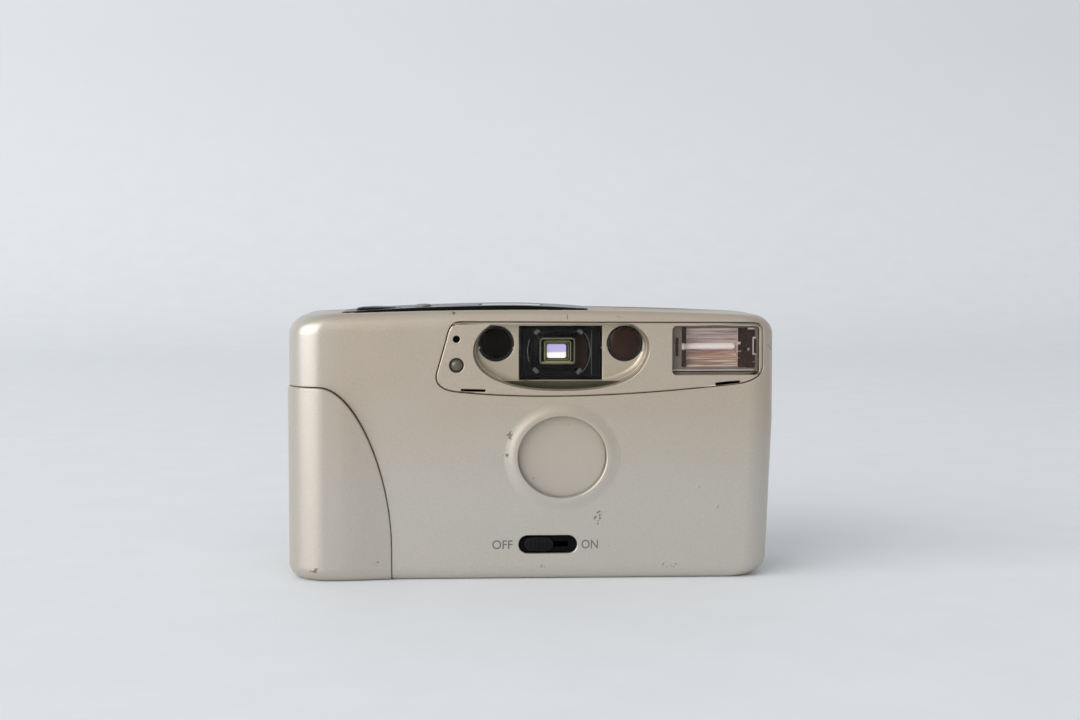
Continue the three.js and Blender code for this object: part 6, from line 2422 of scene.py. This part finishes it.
@dataclass
class Works:
    """Everything inside: the chassis, the film transport, the shutter and the electrics."""

    shop: Workshop
    slots: dict[str, str]
    bodies: dict[str, str]
    inner: tuple[Inner, ...] = (
        Inner("main_chassis", 0.15), Inner("shutter_housing", 0.2), Inner("lens_barrel", 0.15, 45),
        Inner("lens_front", 0.0, 60), Inner("lens_rear", 0.0, 60),
        Inner("shutter_blade_lower", 0.05), Inner("shutter_blade_upper", 0.05),
        Inner("take_up_spool", 0.12, 40), Inner("film_motor", 0.2), Inner("motor_pinion", 0.05),
        Inner("reduction_gear", 0.06), Inner("idler_gear_1", 0.06), Inner("idler_gear_2", 0.06),
        Inner("idler_gear_3", 0.06), Inner("rewind_fork", 0.12), Inner("sprocket_wheel", 0.08, 40),
        Inner("pressure_plate", 0.15), Inner("pressure_spring", 0.06), Inner("film_window", 0.15),
        Inner("date_module", 0.2), Inner("date_button_1", 0.15), Inner("date_button_2", 0.15),
        Inner("date_button_3", 0.15), Inner("battery_cell", 0.2, 40),
        Inner("battery_contact", 0.08), Inner("battery_spring", 0.0, 70),
        Inner("flash_capacitor", 0.3), Inner("main_board", 0.08), Inner("tripod_socket", 0.12, 40),
    )

    def build(self) -> None:
        """Finishes each inner node as a piece of its own, as the record's slots and bodies say."""
        for row in self.inner:
            self.shop.dress(
                self.shop.copy(row.node), f"{row.node}_part", Look(self.slots[row.node]),
                self.bodies[row.node], [row.node], rounding=row.rounding, angle=row.angle,
            )


# ---------------------------------------------------------------- stage


@dataclass
class Studio:
    """The pale floor that curves up behind, the soft lights and the camera."""

    floor_ends: Point = (-2.5, 0.9)
    floor_bend: float = 0.6
    floor_width: float = 6.0
    wall_top: float = 3.0
    sky: Colour = (0.97, 0.98, 1.0, 1.0)
    sky_strength: float = 0.55
    target: tuple[float, float, float] = (2.1, -19.0, 54.2)
    distance: float = 424.0
    yaw: float = 2.5
    pitch: float = 3.6
    focal: float = 57.8

    def floor(self) -> None:
        """Builds the floor and its backdrop as one sheet."""
        bm = bmesh.new()
        (near, far), bend = self.floor_ends, self.floor_bend
        run = [(near, 0.0), (far, 0.0)]
        run += [
            (far + bend * sin(turn), bend - bend * cos(turn))
            for turn in (radians(10 * step) for step in range(1, 10))
        ]
        run.append((far + bend, self.wall_top))
        verts = [bm.verts.new((-self.floor_width / 2, y, z)) for y, z in run]
        edges = [bm.edges.new(pair) for pair in zip(verts, verts[1:])]
        made = bmesh.ops.extrude_edge_only(bm, edges=edges)
        carried = [part for part in made["geom"] if isinstance(part, BMVert)]
        bmesh.ops.translate(bm, verts=carried, vec=(self.floor_width, 0, 0))
        sheet = to_object(bm)
        sheet.name = "studio_floor"
        sheet.data.shade_smooth()
        s = Shader("studio_paper")
        grain = s.noise(0.02, 3.0)
        tone = s.mix(grain.ramp(0.3, 0.7), rgb(232, 235, 238), rgb(234, 237, 240))
        # Painted shade: the paper is painted darker up the backdrop, standing in for the light
        # falling off there.
        tone = s.mix(s.axis("Z").ramp(0.02, 0.36), tone, rgb(220, 222, 224))
        sheet.data.materials.append(s.surface(Base_Color=tone, Roughness=0.62))
        sheet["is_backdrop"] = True

    def softbox(
        self, name: str, place: Sequence[float], aim: Sequence[float], size: Point, power: float,
    ) -> None:
        """Hangs a rectangular light.

        Args:
            name: Its name.
            place: Where it hangs, in metres.
            aim: What it points at, in metres.
            size: Its width and height, in metres.
            power: Its power in watts.
        """
        lamp = bpy.data.lights.new(name, "AREA")
        lamp.shape = "RECTANGLE"
        lamp.size, lamp.size_y = size
        lamp.energy = power
        hung = bpy.data.objects.new(name, lamp)
        hung.location = place
        hung.rotation_mode = "QUATERNION"
        hung.rotation_quaternion = (Vector(aim) - Vector(place)).to_track_quat("-Z", "Y")
        bpy.context.scene.collection.objects.link(hung)

    def lights(self) -> None:
        """Sets the world and hangs the softboxes."""
        world = bpy.data.worlds.new("studio_air")
        world.use_nodes = True
        sky = world.node_tree.nodes["Background"]
        sky.inputs["Color"].default_value = self.sky
        sky.inputs["Strength"].default_value = self.sky_strength
        bpy.context.scene.world = world
        here = (0.0, 0.0, 0.03)
        self.softbox("left_window", (-2.25, -1.8, 1.15), here, (3.6, 2.3), 85.0)
        self.softbox("high_softbox", (-0.5, -2.0, 2.3), (0.0, 0.3, 0.0), (3.6, 2.8), 5.0)

    def camera(self) -> None:
        """Sets the camera in front, a little to the left and above."""
        data = bpy.data.cameras.new("studio_camera")
        data.lens = self.focal
        data.sensor_width = 36.0
        eye = bpy.data.objects.new("studio_camera", data)
        yaw, pitch = radians(self.yaw), radians(self.pitch)
        back = Vector((-sin(yaw) * cos(pitch), -cos(yaw) * cos(pitch), sin(pitch)))
        eye.location = (Vector(self.target) + back * self.distance) * MM
        eye.rotation_mode = "QUATERNION"
        eye.rotation_quaternion = (-back).to_track_quat("-Z", "Y")
        bpy.context.scene.collection.objects.link(eye)
        bpy.context.scene.camera = eye

    def build(self) -> None:
        """Sets the stage."""
        self.floor()
        self.lights()
        self.camera()
        bpy.context.scene.view_settings.view_transform = "Standard"


def corners() -> list[list[float]]:
    """Gives the shown object's lowest and highest corners as plain lists."""
    return [list(corner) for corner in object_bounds()]


def main() -> None:
    """Builds the camera, its stage and its light."""
    logging.basicConfig(level=logging.INFO, format="%(name)s: %(message)s")
    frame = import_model()
    record = frame["record"]
    slots = {row["node"]: row["material_slot"] for row in record["subparts"]}
    bodies = {
        node: name
        for name, members in record["behaviour"]["bodies"].items()
        for node in members
    }
    shop = Workshop(Finishes(), frame["nodes"])
    for part in (
        Casing(shop), WindowPanel(shop), Viewfinder(shop), Flash(shop), LensAndSwitch(shop),
        TopDeck(shop), Works(shop, slots, bodies), Studio(),
    ):
        LOG.info("building %s", type(part).__name__)
        part.build()


if __name__ == "__main__":
    main()
